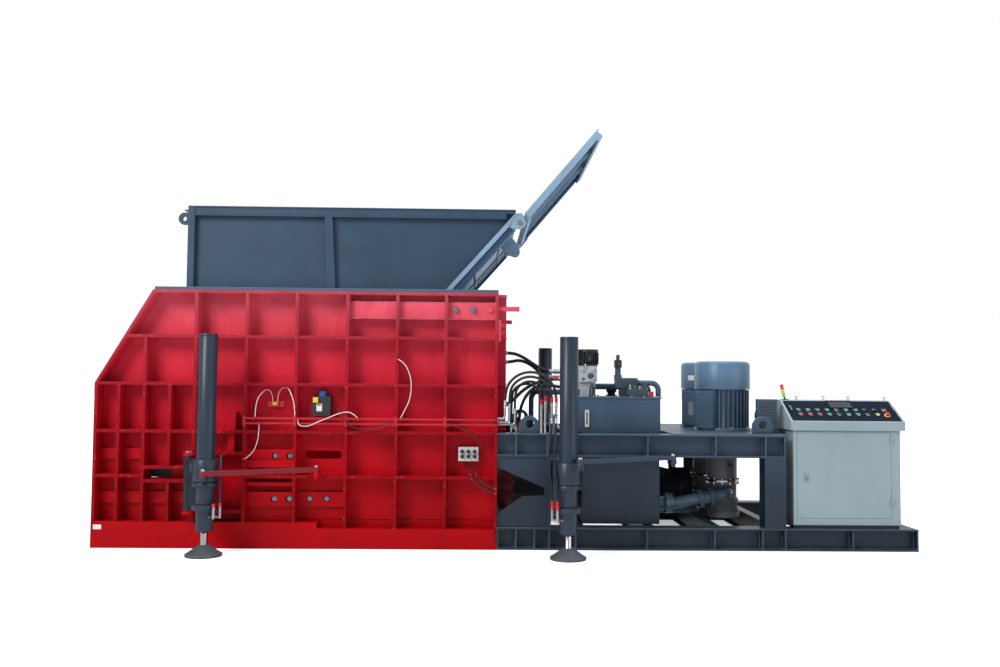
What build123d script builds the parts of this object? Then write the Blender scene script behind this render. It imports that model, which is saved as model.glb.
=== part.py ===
from build123d import *
import math
import os

os.makedirs("parts", exist_ok=True)

# Scrap metal box shear, millimetres.
# Frame: +X along the machine towards the control desk, -Y the side with the service fittings,
# +Z up. The origin is on the floor under the middle of the machine.

# Driving dimensions of the shear box
HALF_LENGTH = 4110
HALF_WIDTH = 1150
BOX_RIGHT = -120
BOX_TOP = 2555
DECK_TOP = 2583
SKIN_IN = 930
SKIN_OUT = 970
RIB = 30
SLOPE_LOW = (-HALF_LENGTH, 1620)
SLOPE_HIGH = (-3560, BOX_TOP)
RIB_Z = [258, 705, 1146, 1618, 2091, BOX_TOP]
BAND_STEP = (-1900, 200)
FINE_RIBS = [-3872, -3622, -3372, -3128]
MAIN_RIBS = [-2626, -2130, -1627, -1130, -642]
FLOOR_LOW = 225
FLOOR_TOP = 275

# Leg pocket and leg hinges
POCKET = (-3112, -2642, 375, 915)
SHELF = 30
ARM = 425
HINGE_Y = -1205
PIN_R = 28
EYE_R = 50
LEG_R = 87.5

# Hopper
HOPPER_LEFT = -3263
HOPPER_RIGHT = 50
HOPPER_TOP = 3415
HOPPER_HALF = 1050
PANEL_HALF = 990
CHUTE_FOOT = (-600, DECK_TOP)
CHUTE_HEAD = (106, 3380)
FLAP_HINGE = (90, 3278)
FLAP_ANGLE = 49.9
FLAP_START = 114
FLAP_END = 1240
FLAP_HALF = 1060

# Frame of the power end
BEAM_END = 2776
BASE_H = 220
FLANGE = 18
WEB = 14
BEAM_W = 200
DECK_LOW = 922
DECK_BEAM_TOP = 1150
DECK_PLATE = 10

# Ram and main cylinder
RAM_FACE = -640
RAM_BACK = -230
RAM_TOP = 1150
STROKE = 2300
CYL_Z = 500
CYL_R = 190
BORE_R = 150
ROD_R = 100


def block(x0, x1, y0, y1, z0, z1):
    """A box between two corners."""
    return Pos((x0 + x1) / 2, (y0 + y1) / 2, (z0 + z1) / 2) * Box(x1 - x0, y1 - y0, z1 - z0)


def rect(u0, u1, v0, v1):
    """A flat rectangle between two corners."""
    return Pos((u0 + u1) / 2, (v0 + v1) / 2) * Rectangle(u1 - u0, v1 - v0)


def outline(points):
    """A flat face inside straight edges."""
    return make_face(Polyline(*points, close=True))


def disc(u, v, r):
    """A flat round face."""
    return Pos(u, v) * Circle(r)


def plate_xz(face, y0, y1):
    """A face drawn in X and Z, as a plate between two depths."""
    return extrude(Plane.XZ.offset(-y1) * face, amount=y1 - y0)


def plate_yz(face, x0, x1):
    """A face drawn in Y and Z, as a plate between two lengths."""
    return extrude(Plane.YZ.offset(x0) * face, amount=x1 - x0)


def plate_xy(face, z0, z1):
    """A face drawn in X and Y, as a plate between two heights."""
    return extrude(Plane.XY.offset(z0) * face, amount=z1 - z0)


def rod_x(x0, x1, y, z, r):
    return Pos((x0 + x1) / 2, y, z) * Rot(0, 90, 0) * Cylinder(r, x1 - x0)


def rod_y(x, y0, y1, z, r):
    return Pos(x, (y0 + y1) / 2, z) * Rot(90, 0, 0) * Cylinder(r, y1 - y0)


def rod_z(x, y, z0, z1, r):
    return Pos(x, y, (z0 + z1) / 2) * Cylinder(r, z1 - z0)


def turned(points):
    """A solid turned about Z from its half section, given as radius and height."""
    return revolve(Plane.XZ * outline(points), Axis.Z)


def far(part):
    """The same piece on the far side of the machine."""
    return mirror(part, about=Plane.XZ)


def joined(pieces):
    """Welded pieces as one solid."""
    first, *rest = pieces
    return first.fuse(*rest).clean() if rest else first


# Shear box

def wall_outline():
    return outline([(-HALF_LENGTH, 0), SLOPE_LOW, SLOPE_HIGH, (BOX_RIGHT, BOX_TOP), (BOX_RIGHT, 0)])


def wall_cells():
    """The open cells between the outside ribs, row by row from the floor."""
    half = RIB / 2
    fine, main = FINE_RIBS, MAIN_RIBS
    rows = [fine + main, fine + main, fine + main, [fine[1], fine[3]] + main, [fine[3]] + main]
    cells = []
    for row, ribs in enumerate(rows):
        low = RIB_Z[row] + (0 if row == 0 else half)
        high = RIB_Z[row + 1] - (RIB if row == len(rows) - 1 else half)
        edges = [-HALF_LENGTH - half] + ribs + [BOX_RIGHT + half]
        for left, right in zip(edges, edges[1:]):
            cells.append((row, left + half, right - half, low, high))
    return cells


def side_wall(rod_window):
    """One long side: a thick skin with a welded grid of flat ribs outside."""
    whole = wall_outline()
    inner = offset(whole, amount=-RIB, kind=Kind.INTERSECTION)
    pocket_left, pocket_right, pocket_low, pocket_high = POCKET
    slot_left, slot_right = FINE_RIBS[1], FINE_RIBS[3]
    slot_low, slot_high = 657, 791
    half = RIB / 2
    step_x, step_low = BAND_STEP
    open_cells = []
    for row, left, right, low, high in wall_cells():
        in_pocket = row < 2 and abs(left - half - FINE_RIBS[3]) < 1
        in_slot = row < 2 and slot_left - 1 < left - half and right + half < slot_right + 1
        if in_pocket:
            continue
        if in_slot and row == 0:
            high = slot_low - half
        if in_slot and row == 1:
            low = slot_high + half
        if row == 0 and right > step_x:
            open_cells.append(rect(max(left, step_x), right, step_low, low + 1))
        open_cells.append(rect(left, right, low, high))
    open_cells.append(rect(pocket_left, pocket_right, pocket_low, pocket_high))
    open_cells.append(rect(pocket_left, pocket_right, pocket_high + SHELF, RIB_Z[2] - half))
    open_cells.append(rect(pocket_left, pocket_right, RIB_Z[0], pocket_low - SHELF))
    open_cells.append(rect(slot_left + half, slot_right - half, slot_low + half, slot_high - half))
    cells = Sketch() + open_cells
    ribs = plate_xz(whole - (cells & inner), -HALF_WIDTH, -SKIN_OUT)
    blade_slot = Pos(-1870, 911) * SlotOverall(370, 83)
    skin = plate_xz(whole - blade_slot, -SKIN_OUT, -SKIN_IN)
    if rod_window:
        skin -= plate_xz(rect(-3600, -3385, 674, 774), -SKIN_OUT, -SKIN_IN)
    bands = [
        plate_xz(rect(-HALF_LENGTH + RIB, slot_left, 860, 968), -SKIN_OUT - 35, -SKIN_OUT + 1),
        plate_xz(rect(-HALF_LENGTH + RIB, slot_right, 425, 540), -SKIN_OUT - 35, -SKIN_OUT + 1),
    ]
    wall = joined([skin, ribs] + bands + blade_seats() + [stop_strut()] + stiffening_bars())
    return [wall] + wall_lugs()


def blade_seats():
    """Stepped seat plates in the lower cells, with the blade bolts through them."""
    left, right = MAIN_RIBS[0], MAIN_RIBS[1]
    upper = rect(left, right, 791, 968)
    lower = rect(left, right, 398, 544)
    for x in (-2341, -2193):
        upper -= disc(x, 902, 35)
        lower -= disc(x, 474, 35)
    long_seat = rect(right, MAIN_RIBS[2], 398, 544)
    for x in (-1996, -1824):
        long_seat -= disc(x, 474, 33)
    back = -SKIN_OUT + 1
    pieces = [plate_xz(upper, -1050, back), plate_xz(lower, -1050, back)]
    pieces.append(plate_xz(rect(left, right, 791, 862), -1085, -1049))
    pieces.append(plate_xz(rect(left, right, 610, 645), -1085, back))
    pieces.append(plate_xz(rect(left, right, 258, 399), -1020, back))
    pieces.append(plate_xz(long_seat, -1010, back))
    for x in (-2341, -2193):
        for z in (902, 474):
            pieces.append(rod_y(x, -1025, back, z, 26))
    for x in (-1996, -1824):
        pieces.append(rod_y(x, -1000, back, 474, 24))
    return pieces


def stop_strut():
    """Strut in the cell over the leg pocket."""
    strut = outline([(-2812, 944), (-2742, 944), (-2728, 1338), (-2775, 1338)])
    return plate_xz(strut, -1085, -SKIN_OUT + 1)


def wall_lugs():
    """Hinge lugs of the leg, and the lug of its brace."""
    hinge_x = LEGS["left"]["hinge_x"]
    pieces = []
    for low in (POCKET[2] - SHELF, POCKET[3]):
        lug = rect(hinge_x - 55, hinge_x + 55, HINGE_Y, -HALF_WIDTH) + disc(hinge_x, HINGE_Y, 55)
        lug -= disc(hinge_x, HINGE_Y, PIN_R + 0.05)
        pieces.append(plate_xy(lug, low, low + SHELF))
    brace = LEGS["left"]["brace"]
    pieces.append(brace_lug(brace["body"], brace["low"], 55, -HALF_WIDTH))
    return pieces


def stiffening_bars():
    """Three thick bars in the top row over the feed end, bolted at the right."""
    pieces = []
    for left, right in zip(MAIN_RIBS[2:], MAIN_RIBS[3:] + [BOX_RIGHT - RIB / 2]):
        face = rect(left + RIB / 2, right - RIB / 2, 2290, 2455)
        pieces.append(plate_xz(face, -1090, -SKIN_OUT + 1))
    for x in (-547, -376, -207):
        pieces.append(rod_y(x, -1112, -1089, 2384, 30))
    pieces.append(block(BOX_RIGHT - 1, 92, -1110, -1060, 2374, 2418))
    pieces.append(block(BOX_RIGHT - 1, -92, -1140, -1000, 2064, 2284))
    for z in (2155, 2228):
        pieces.append(rod_x(-93, -57, -1080, z, 24))
    return pieces


def box_floor():
    """Thick floor plate on a grid of bearers."""
    pieces = [block(-HALF_LENGTH + 60, BOX_RIGHT - 80, -SKIN_IN, SKIN_IN, FLOOR_LOW, FLOOR_TOP)]
    for y in (-600, -200, 200, 600):
        pieces.append(block(-HALF_LENGTH + 60, BOX_RIGHT - 80, y - 20, y + 20, 0, FLOOR_LOW + 1))
    for x in [FINE_RIBS[1], FINE_RIBS[3]] + MAIN_RIBS:
        pieces.append(block(x - 15, x + 15, -SKIN_IN, SKIN_IN, 60, FLOOR_LOW + 1))
    return joined(pieces)


def front_end_frame():
    """Left end: a portal round the outlet, and a ribbed slope plate above it."""
    gate = rect(-SKIN_IN, SKIN_IN, 0, 1600) - rect(-760, 760, 300, 1290)
    pieces = [plate_yz(gate, -HALF_LENGTH, -HALF_LENGTH + 60)]
    (x0, z0), (x1, z1) = SLOPE_LOW, SLOPE_HIGH
    length = math.hypot(x1 - x0, z1 - z0)
    ux, uz = (x1 - x0) / length, (z1 - z0) / length

    def along(s, depth):
        return (x0 + ux * s + uz * depth, z0 + uz * s - ux * depth)

    skin = outline([along(-10, 60), along(length, 60), along(length, 100), along(-10, 100)])
    pieces.append(plate_xz(skin, -SKIN_IN, SKIN_IN))
    ribs = outline([along(0, 0), along(length, 0), along(length, 62), along(0, 62)])
    for y in (-600, -200, 200, 600):
        pieces.append(plate_xz(ribs, y - 15, y + 15))
    for s in (0, length / 2, length - 30):
        rib = outline([along(s, 0), along(s + 30, 0), along(s + 30, 62), along(s, 62)])
        pieces.append(plate_xz(rib, -SKIN_IN, SKIN_IN))
    joint = outline([(x0, 1560), (x0, z0), along(40, 0), along(40, 100), (x0 + 60, 1560)])
    pieces.append(plate_xz(joint, -SKIN_IN, SKIN_IN))
    pieces.append(block(x0, x0 + 160, -SKIN_IN, SKIN_IN, 1380, 1420))
    return joined(pieces) & block(x0, x1 + 200, -SKIN_IN, SKIN_IN, 0, BOX_TOP)


def rear_end_plate():
    """Right end of the box, with the seat of the main cylinder."""
    face = rect(-SKIN_IN, SKIN_IN, 0, BOX_TOP) - disc(0, CYL_Z, CYL_R)
    pieces = [plate_yz(face, BOX_RIGHT - 80, BOX_RIGHT)]
    for z in (1150, 1620, 2090, 2525):
        pieces.append(block(BOX_RIGHT - 1, BOX_RIGHT + 90, -SKIN_IN, SKIN_IN, z, z + RIB))
    for y in (-780, -10, 760):
        pieces.append(block(BOX_RIGHT - 1, BOX_RIGHT + 90, y, y + 20, 1165, BOX_TOP))
    return joined(pieces)


def top_deck_plate():
    """Frame plate that closes the box round the hopper mouth."""
    face = rect(-3545, BOX_RIGHT, -HALF_WIDTH, HALF_WIDTH) - rect(-3180, -640, -900, 900)
    return plate_xy(face, BOX_TOP, DECK_TOP)


def blade_frame():
    """Inner portal that carries the fixed blades."""
    face = rect(-SKIN_IN, SKIN_IN, FLOOR_TOP, 1560) - rect(-800, 800, FLOOR_TOP + 30, 1180)
    pieces = [plate_yz(face, -3160, -3020)]
    wedge = outline([(-3180, 1560), (-3180, 2540), (-3020, 1560)])
    pieces.append(plate_xz(wedge, -SKIN_IN, SKIN_IN))
    return joined(pieces)


def fixed_blades():
    """Blade bars bolted to the portal, one below and one each side."""
    face = -3020
    pieces = []
    for y0, y1, z0, z1 in ((-925, -800, 310, 1180), (800, 925, 310, 1180)):
        bar = block(face, face + 60, y0, y1, z0, z1)
        for z in (420, 640, 860, 1080):
            bar -= rod_x(face + 30, face + 61, (y0 + y1) / 2, z, 26)
        pieces.append(bar)
    bar = block(face, face + 60, -795, 795, FLOOR_TOP + 0.5, 305)
    pieces.append(bar)
    return pieces


# Ram

def ram_carriage():
    """Hollow pusher: a ribbed front plate, two cheeks, a top and a bottom, open behind."""
    low, high, half = FLOOR_TOP + 8, RAM_TOP, SKIN_IN - 12
    pieces = [block(RAM_FACE, RAM_FACE + 80, -half, half, low, high)]
    pieces.append(block(RAM_FACE + 79, RAM_BACK, -half, half, high - 50, high))
    pieces.append(block(RAM_FACE + 79, RAM_BACK, -half, half, low, low + 20))
    for y in (-half, -500, 470, half - 30):
        pieces.append(block(RAM_FACE + 79, RAM_BACK, y, y + 30, low + 10, high - 10))
    head = block(RAM_FACE - 60, RAM_FACE + 1, -700, 700, low + 110, high - 60)
    pieces.append(head)
    body = joined(pieces)
    return body - rod_x(RAM_FACE + 20, RAM_FACE + 200, 0, CYL_Z, ROD_R)


def moving_blades():
    """Blade bars round the head of the ram."""
    x0, x1 = RAM_FACE - 60, RAM_FACE
    low = FLOOR_TOP + 35
    pieces = [block(x0, x1, -790, 790, low, low + 83)]
    for y0, y1 in ((-790, -700), (700, 790)):
        bar = block(x0, x1, y0, y1, low + 83, RAM_TOP - 60)
        for z in (520, 740, 960):
            bar -= rod_x(x0 - 1, x0 + 25, (y0 + y1) / 2, z, 24)
        pieces.append(bar)
    return pieces


def main_cylinder():
    """Barrel through the end plate, with its mounting flange, gland and end cap."""
    left, right = -540, 2030
    barrel = rod_x(left + 60, right, 0, CYL_Z, CYL_R - 0.05)
    barrel += rod_x(left, left + 60, 0, CYL_Z, CYL_R - 10)
    barrel += rod_x(BOX_RIGHT, BOX_RIGHT + 190, 0, CYL_Z, 275)
    barrel += rod_x(right - 130, right, 0, CYL_Z, 225)
    barrel -= rod_x(left + 60, right - 90, 0, CYL_Z, BORE_R)
    barrel -= rod_x(left - 1, left + 61, 0, CYL_Z, ROD_R + 0.05)
    for i in range(12):
        a = math.radians(15 + 30 * i)
        y, z = 245 * math.cos(a), CYL_Z + 245 * math.sin(a)
        barrel += rod_x(BOX_RIGHT + 189, BOX_RIGHT + 214, y, z, 18)
    for x in (260, 1860):
        barrel += rod_z(x, 0, CYL_Z + CYL_R - 25, CYL_Z + CYL_R + 70, 42)
    return barrel


def piston_rod():
    """Rod and piston of the main cylinder, screwed into the ram face."""
    rod = rod_x(RAM_FACE + 20, 1850, 0, CYL_Z, ROD_R)
    rod += rod_x(1849, 1925, 0, CYL_Z, BORE_R - 0.05)
    return rod


# Hopper

def chute_point(s, depth):
    """A point of the chute's section: up its slope, and out from under it."""
    (fx, fz), (hx, hz) = CHUTE_FOOT, CHUTE_HEAD
    length = math.hypot(hx - fx, hz - fz)
    ux, uz = (hx - fx) / length, (hz - fz) / length
    return (fx + ux * s + uz * depth, fz + uz * s - ux * depth)


def hopper_side():
    """Near side of the hopper: panel, top rail, posts and the chute flange."""
    low = DECK_TOP
    (fx, fz), (hx, hz) = CHUTE_FOOT, CHUTE_HEAD
    run = (hx - fx) / (hz - fz)
    panel = outline([(HOPPER_LEFT, low), (HOPPER_LEFT, HOPPER_TOP), (HOPPER_RIGHT, HOPPER_TOP),
                     (HOPPER_RIGHT, hz - (hx - HOPPER_RIGHT) / run), (fx, low)])
    pieces = [plate_xz(panel, -PANEL_HALF, -PANEL_HALF + 10)]
    outside, skin = -HOPPER_HALF, -PANEL_HALF + 1
    rail = rect(HOPPER_LEFT, HOPPER_RIGHT, HOPPER_TOP - 12, HOPPER_TOP)
    rail += rect(HOPPER_LEFT, HOPPER_RIGHT - 95, HOPPER_TOP - 97, HOPPER_TOP - 85)
    pieces.append(plate_xz(rail, outside, skin))
    rail_web = rect(HOPPER_LEFT, HOPPER_RIGHT, HOPPER_TOP - 44, HOPPER_TOP)
    rail_web += rect(HOPPER_LEFT, HOPPER_RIGHT - 95, HOPPER_TOP - 97, HOPPER_TOP - 43)
    pieces.append(plate_xz(rail_web, outside + 8, outside + 18))
    pieces.append(plate_xz(rect(HOPPER_LEFT, HOPPER_LEFT + 66, low, HOPPER_TOP), outside, skin))
    mid = outline([(-1889, HOPPER_TOP - 90), (-1812, HOPPER_TOP - 90), (-1770, low), (-1856, low)])
    pieces.append(plate_xz(mid, outside + 4, skin))
    flange = outline([(fx - 60, low), chute_point(930, -45), chute_point(930, 0), (fx, low)])
    pieces.append(plate_xz(flange, outside, skin))
    tip = outline([chute_point(920, -45), (hx - 64, hz - 4), (hx, hz), chute_point(920, 0)])
    pieces.append(plate_xz(tip, outside, outside + 12))
    web = outline([chute_point(6, -5), chute_point(880, -5), chute_point(880, 60), chute_point(56, 60)])
    pieces.append(plate_xz(web, outside + 15, outside + 25))
    ear = outline([(-16, 3225), (hx - 60, hz - 60), (hx, hz), (132, 3345), (150, 3255), (95, 3215)])
    ear += disc(*FLAP_HINGE, 62)
    ear = ear - disc(*FLAP_HINGE, 24)
    pieces.append(plate_xz(ear, outside - 25, outside + 1))
    lift = rect(HOPPER_LEFT - 36, HOPPER_LEFT + 60, 3282 - 62, 3282 + 62) + disc(HOPPER_LEFT - 36, 3282, 62)
    lift -= disc(HOPPER_LEFT - 36, 3282, 22)
    pieces.append(plate_xz(lift, outside + 5, outside + 35))
    return joined(pieces)


def hopper_end_wall():
    """Left end of the hopper, with uprights outside."""
    x = HOPPER_LEFT
    pieces = [block(x, x + 10, -PANEL_HALF + 10, PANEL_HALF - 10, DECK_TOP, HOPPER_TOP)]
    pieces.append(block(x + 10, x + 60, -PANEL_HALF + 10, PANEL_HALF - 10, HOPPER_TOP - 10, HOPPER_TOP))
    for y in (-500, 0, 500):
        pieces.append(block(x - 60, x + 1, y - 8, y + 8, DECK_TOP, HOPPER_TOP))
    pieces.append(block(x - 60, x + 1, -PANEL_HALF + 10, PANEL_HALF - 10, HOPPER_TOP - 40, HOPPER_TOP - 28))
    return joined(pieces)


def hopper_chute():
    """Sloping right wall of the hopper, with flat ribs and a clevis for its stay underneath."""
    (fx, fz), (hx, hz) = CHUTE_FOOT, CHUTE_HEAD
    length = math.hypot(hx - fx, hz - fz)
    inner = PANEL_HALF - 10
    top = length - 72
    skin = outline([(fx, fz), chute_point(top, 0), chute_point(top, 12), chute_point(11, 12)])
    pieces = [plate_xz(skin, -inner, inner)]
    rib = outline([chute_point(13, 11), chute_point(top, 11), chute_point(top - 20, 34), chute_point(60, 34)])
    for y in (-inner, -490, 470, inner - 12):
        pieces.append(plate_xz(rib, y, y + 12))
    for s in (330, 720):
        cross = outline([chute_point(s, 11), chute_point(s + 10, 11), chute_point(s + 10, 30), chute_point(s, 30)])
        pieces.append(plate_xz(cross, -inner, inner))
    lug = outline([(-62, 3175), (34, 3290), (118, 3200), (124, 3117), (43, 3078), (-34, 3117)])
    lug += disc(85, 3120, 52)
    lug -= disc(85, 3120, 22)
    for y in (-45, 20):
        pieces.append(plate_xz(lug, y, y + 25))
    return joined(pieces) & block(fx, hx + 200, -inner, inner, DECK_TOP, HOPPER_TOP)


def hopper_flap():
    """Loading flap: a plate in a frame of channels, on two hinge arms."""
    a = math.radians(FLAP_ANGLE)
    ux, uz = math.cos(a), math.sin(a)
    (hx, hz) = FLAP_HINGE

    def at(t, lift):
        return (hx + ux * t - uz * lift, hz + uz * t + ux * lift)

    def strip(t0, t1, low, high):
        return outline([at(t0, low), at(t1, low), at(t1, high), at(t0, high)])

    edge = FLAP_HALF
    pieces = [plate_xz(strip(FLAP_START, FLAP_END, 17, 27), -edge, edge)]
    for y in (-edge, edge - 10):
        pieces.append(plate_xz(strip(FLAP_START, FLAP_END, -38, 18), y, y + 10))
        pieces.append(plate_xz(strip(FLAP_END - 70, FLAP_END, -60, 18), y, y + 10))
    for y in (-edge, edge - 70):
        pieces.append(plate_xz(strip(FLAP_START, FLAP_END, -38, -28), y, y + 70))
    pieces.append(plate_xz(strip(FLAP_START, FLAP_START + 10, -38, 18), -edge, edge))
    pieces.append(plate_xz(strip(FLAP_START, FLAP_START + 60, -38, -28), -edge, edge))
    pieces.append(plate_xz(strip(FLAP_END - 10, FLAP_END, -60, 18), -edge, edge))
    pieces.append(plate_xz(strip(FLAP_END - 70, FLAP_END, -60, -50), -edge, edge))
    for y in (-400, 320):
        pieces.append(plate_xz(strip(FLAP_START, FLAP_END, -34, 18), y, y + 10))
    pieces.append(plate_xz(strip(FLAP_END - 30, FLAP_END + 22, 17, 27), -edge, -edge + 40))
    arm = strip(-25, FLAP_START + 120, -52, 18) + disc(hx, hz, 45)
    arm -= disc(hx, hz, 24.05)
    for y in (-edge + 28, edge - 53):
        pieces.append(plate_xz(arm, y, y + 25))
    return joined(pieces)


# Frame of the power end

def i_beam(x0, x1, y0, z0, z1, stiffeners):
    """Rolled beam along X with welded stiffeners on both sides of its web."""
    y1 = y0 + BEAM_W
    mid = (y0 + y1) / 2
    face = rect(y0, y1, z0, z0 + FLANGE) + rect(y0, y1, z1 - FLANGE, z1)
    face += rect(mid - WEB / 2, mid + WEB / 2, z0 + 1, z1 - 1)
    pieces = [plate_yz(face, x0, x1)]
    for x in stiffeners:
        pieces.append(block(x - 7, x + 7, y0 + 4, y1 - 4, z0 + FLANGE - 1, z1 - FLANGE + 1))
    return joined(pieces)


def base_frame():
    """Two long beams on the floor, tied by cross beams and closed at the desk end."""
    marks = [-110, 74, 257, 406, 668, 1381, 2057, 2539, 2769]
    near = i_beam(BOX_RIGHT, HALF_LENGTH, -HALF_WIDTH, 0, BASE_H, marks + [3450, HALF_LENGTH - 7])
    pieces = [near, far(near)]
    inner = HALF_WIDTH - BEAM_W
    for x in (-50, 668, 1381, 2057, 2680, 3400, HALF_LENGTH - 104):
        face = rect(x, x + 100, 0, 14) + rect(x, x + 100, BASE_H - 14, BASE_H)
        face += rect(x + 45, x + 55, 1, BASE_H - 1)
        pieces.append(plate_xz(face, -inner, inner))
    return pieces


def deck_frame():
    """Upper beams, their ties and the deck plate with its cut-out for the tank."""
    marks = [71, 386, 665, 1386, 2071, 2573, BEAM_END - 7]
    near = i_beam(BOX_RIGHT, BEAM_END, -HALF_WIDTH, DECK_LOW, DECK_BEAM_TOP, marks)
    pieces = [near, far(near)]
    inner = HALF_WIDTH - BEAM_W
    for x in (75, 580, 1640, 2040, 2610):
        face = rect(x, x + 80, DECK_LOW, DECK_LOW + 14)
        face += rect(x, x + 80, DECK_BEAM_TOP - 14, DECK_BEAM_TOP)
        face += rect(x + 35, x + 45, DECK_LOW + 1, DECK_BEAM_TOP - 1)
        pieces.append(plate_xz(face, -inner, inner))
    deck = rect(1640, BEAM_END - 1, -HALF_WIDTH + 5, HALF_WIDTH - 5)
    for y in (-MOTOR_Y, MOTOR_Y):
        deck -= disc(MOTOR_X, y, 150)
    pieces.append(plate_xy(deck, DECK_BEAM_TOP, DECK_BEAM_TOP + DECK_PLATE))
    lug = rect(-103, 103, 0, 72) + disc(0, 72, 103) - disc(8, 92, 42)
    for x in (203, 2560):
        low = DECK_BEAM_TOP + (DECK_PLATE if x > 1640 else 0)
        plate = Pos(0, 0, low) * Pos(x, 0, 0) * plate_xz(lug, -1075, -1045)
        pieces += [plate, far(plate)]
    return pieces


def frame_posts():
    """Posts at the desk end, the wedge-cut side plates at the box, and the leg hinge plates."""
    pieces = []
    x0, x1 = BEAM_END - 214, BEAM_END
    outer, inner = -HALF_WIDTH, -HALF_WIDTH + BEAM_W
    post = rect(x0, x1, outer, outer + FLANGE) + rect(x0, x1, inner - FLANGE, inner)
    mid = (x0 + x1) / 2
    post += rect(mid - WEB / 2, mid + WEB / 2, outer + 1, inner - 1)
    pieces.append(plate_xy(post, BASE_H, DECK_LOW))
    side = rect(BOX_RIGHT, 384, BASE_H, DECK_LOW)
    side -= outline([(BOX_RIGHT - 1, 352), (140, 525), (356, 531), (356, 608), (BOX_RIGHT - 1, 815)])
    pieces.append(plate_xz(side, -1120, -1096))
    pieces.append(block(384, 412, -1245, -960, BASE_H, DECK_LOW))
    hinge_x = LEGS["right"]["hinge_x"]
    near_pieces = [pieces[0], joined(pieces[1:])]
    for low in (345, 888):
        lug = rect(412, hinge_x, HINGE_Y - 50, -1100) + disc(hinge_x, HINGE_Y, 55)
        lug += rect(hinge_x - 1, hinge_x + 50, HINGE_Y, -1100)
        lug -= disc(hinge_x, HINGE_Y, PIN_R + 0.05)
        near_pieces.append(plate_xy(lug, low, low + SHELF))
    brace = LEGS["right"]["brace"]
    lug_x, root = brace["body"][0], -HALF_WIDTH + 40
    near_pieces.append(brace_lug(brace["body"], brace["low"], 45, root))
    near_pieces.append(block(lug_x - 38, lug_x + 38, -HALF_WIDTH, root, brace["low"] - 0.3, DECK_LOW))
    return near_pieces + [far(piece) for piece in near_pieces] + [far_guard()]


def far_guard():
    """Sheet guard on the far beam behind the pumps, with an opening for pipes under the deck."""
    guard = rect(412, BEAM_END - 215, BASE_H, DECK_LOW)
    guard -= outline([(1914, DECK_LOW), (2218, DECK_LOW), (2218, 570), (1914, 640)])
    return plate_xz(guard, 1060, 1066)


# Legs

LEGS = {
    "left": {"hinge_x": -3148, "x": -2890, "barrel_hinge": (377, 913), "port_side": 1,
             "brace": {"pin_from_leg": (24, -160), "body": (-1903, -1205), "low": 760, "high": 806}},
    "right": {"hinge_x": 466, "x": 547, "barrel_hinge": (377, 886), "port_side": -1,
              "brace": {"pin_from_leg": (98, -125), "body": (1625, -1205), "low": 905, "high": 943}},
}
for leg in LEGS.values():
    leg["y"] = HINGE_Y - math.sqrt(ARM**2 - (leg["x"] - leg["hinge_x"]) ** 2)
    pin_dx, pin_dy = leg["brace"]["pin_from_leg"]
    leg["brace"]["pin"] = (leg["x"] + pin_dx, leg["y"] + pin_dy)

SLEEVE = (704, 905)
BRACE_PIN_R = 14
LEG_PORTS = ((-14, 160, 578), (-42, 150, 0))


def brace_lug(body, low, thick, root):
    """Lug on the machine's side, on which the brace lies, with its nut below."""
    x, y = body
    face = rect(x - 38, x + 38, y, root) + disc(x, y, 38)
    lug = plate_xy(face, low - thick, low - 0.3)
    return lug + rod_z(x, y, low - thick - 23, low - thick + 1, 20)


def leg_arm(leg):
    """Swing arm: hinge barrel, web plates, the sleeve that clamps the leg, and its brace lug."""
    hx, x, y = leg["hinge_x"], leg["x"], leg["y"]
    low, high = leg["barrel_hinge"]
    angle = math.degrees(math.atan2(y - HINGE_Y, x - hx))
    place = Pos(hx, HINGE_Y, 0) * Rot(0, 0, angle)
    pieces = [rod_z(hx, HINGE_Y, low, high, EYE_R)]
    for z0, z1 in ((SLEEVE[0], SLEEVE[0] + 30), (high - 60, high - 30)):
        pieces.append(place * block(20, ARM - 40, -45, 45, z0, z1))
    pieces.append(place * block(30, ARM - 125, -15, 15, 438, high - 35))
    pieces.append(rod_z(x, y, *SLEEVE, 120))
    pieces.append(rod_z(x, y, 438, 481, 128))
    px, py = leg["brace"]["pin"]
    seat = leg["brace"]["low"]
    lug_low = min(seat - 40, SLEEVE[1] - 60)
    reach = math.hypot(px - x, py - y)
    turn = math.degrees(math.atan2(py - y, px - x))
    lug = disc(px, py, 38) + Pos(x, y) * Rot(0, 0, turn) * rect(60, reach, -38, 38)
    pieces.append(plate_xy(lug, lug_low, seat - 0.3))
    body = joined(pieces)
    body -= rod_z(hx, HINGE_Y, low - 1, high + 1, PIN_R + 0.05)
    body -= rod_z(x, y, 400, 1000, LEG_R)
    pin = rod_z(px, py, seat - 1, leg["brace"]["high"] + 4, BRACE_PIN_R)
    pin += rod_z(px, py, leg["brace"]["high"] + 3, leg["brace"]["high"] + 20, 22)
    return body + pin


def leg_barrel(leg):
    """Leg cylinder: tube with its cap ring, collars and the tapped lower gland, with feed pipes."""
    x, y = leg["x"], leg["y"]
    r = LEG_R
    section = [(35.05, 238), (84, 238), (84, 438), (r, 438), (r, 655), (124, 655), (124, 695),
               (r, 695), (r, 2068), (r - 3, 2068), (r - 3, 2072), (r, 2072), (r, 2096),
               (0, 2096), (0, 2070), (70, 2070), (70, 290), (35.05, 290)]
    barrel = Pos(x, y, 0) * turned(section)
    side = leg["port_side"]
    for turn, reach, riser in LEG_PORTS:
        angle = turn if side > 0 else 180 - turn
        port = rod_x(80, reach, 0, 0, 12)
        port += rod_z(reach, 0, -12, 98, 13) + rod_z(reach, 0, 97, 128, 16)
        if side > 0 and riser:
            port += rod_z(reach, 0, 127, riser, 9)
        barrel += Pos(x, y, 372) * Rot(0, 0, angle) * port
    return barrel


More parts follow.
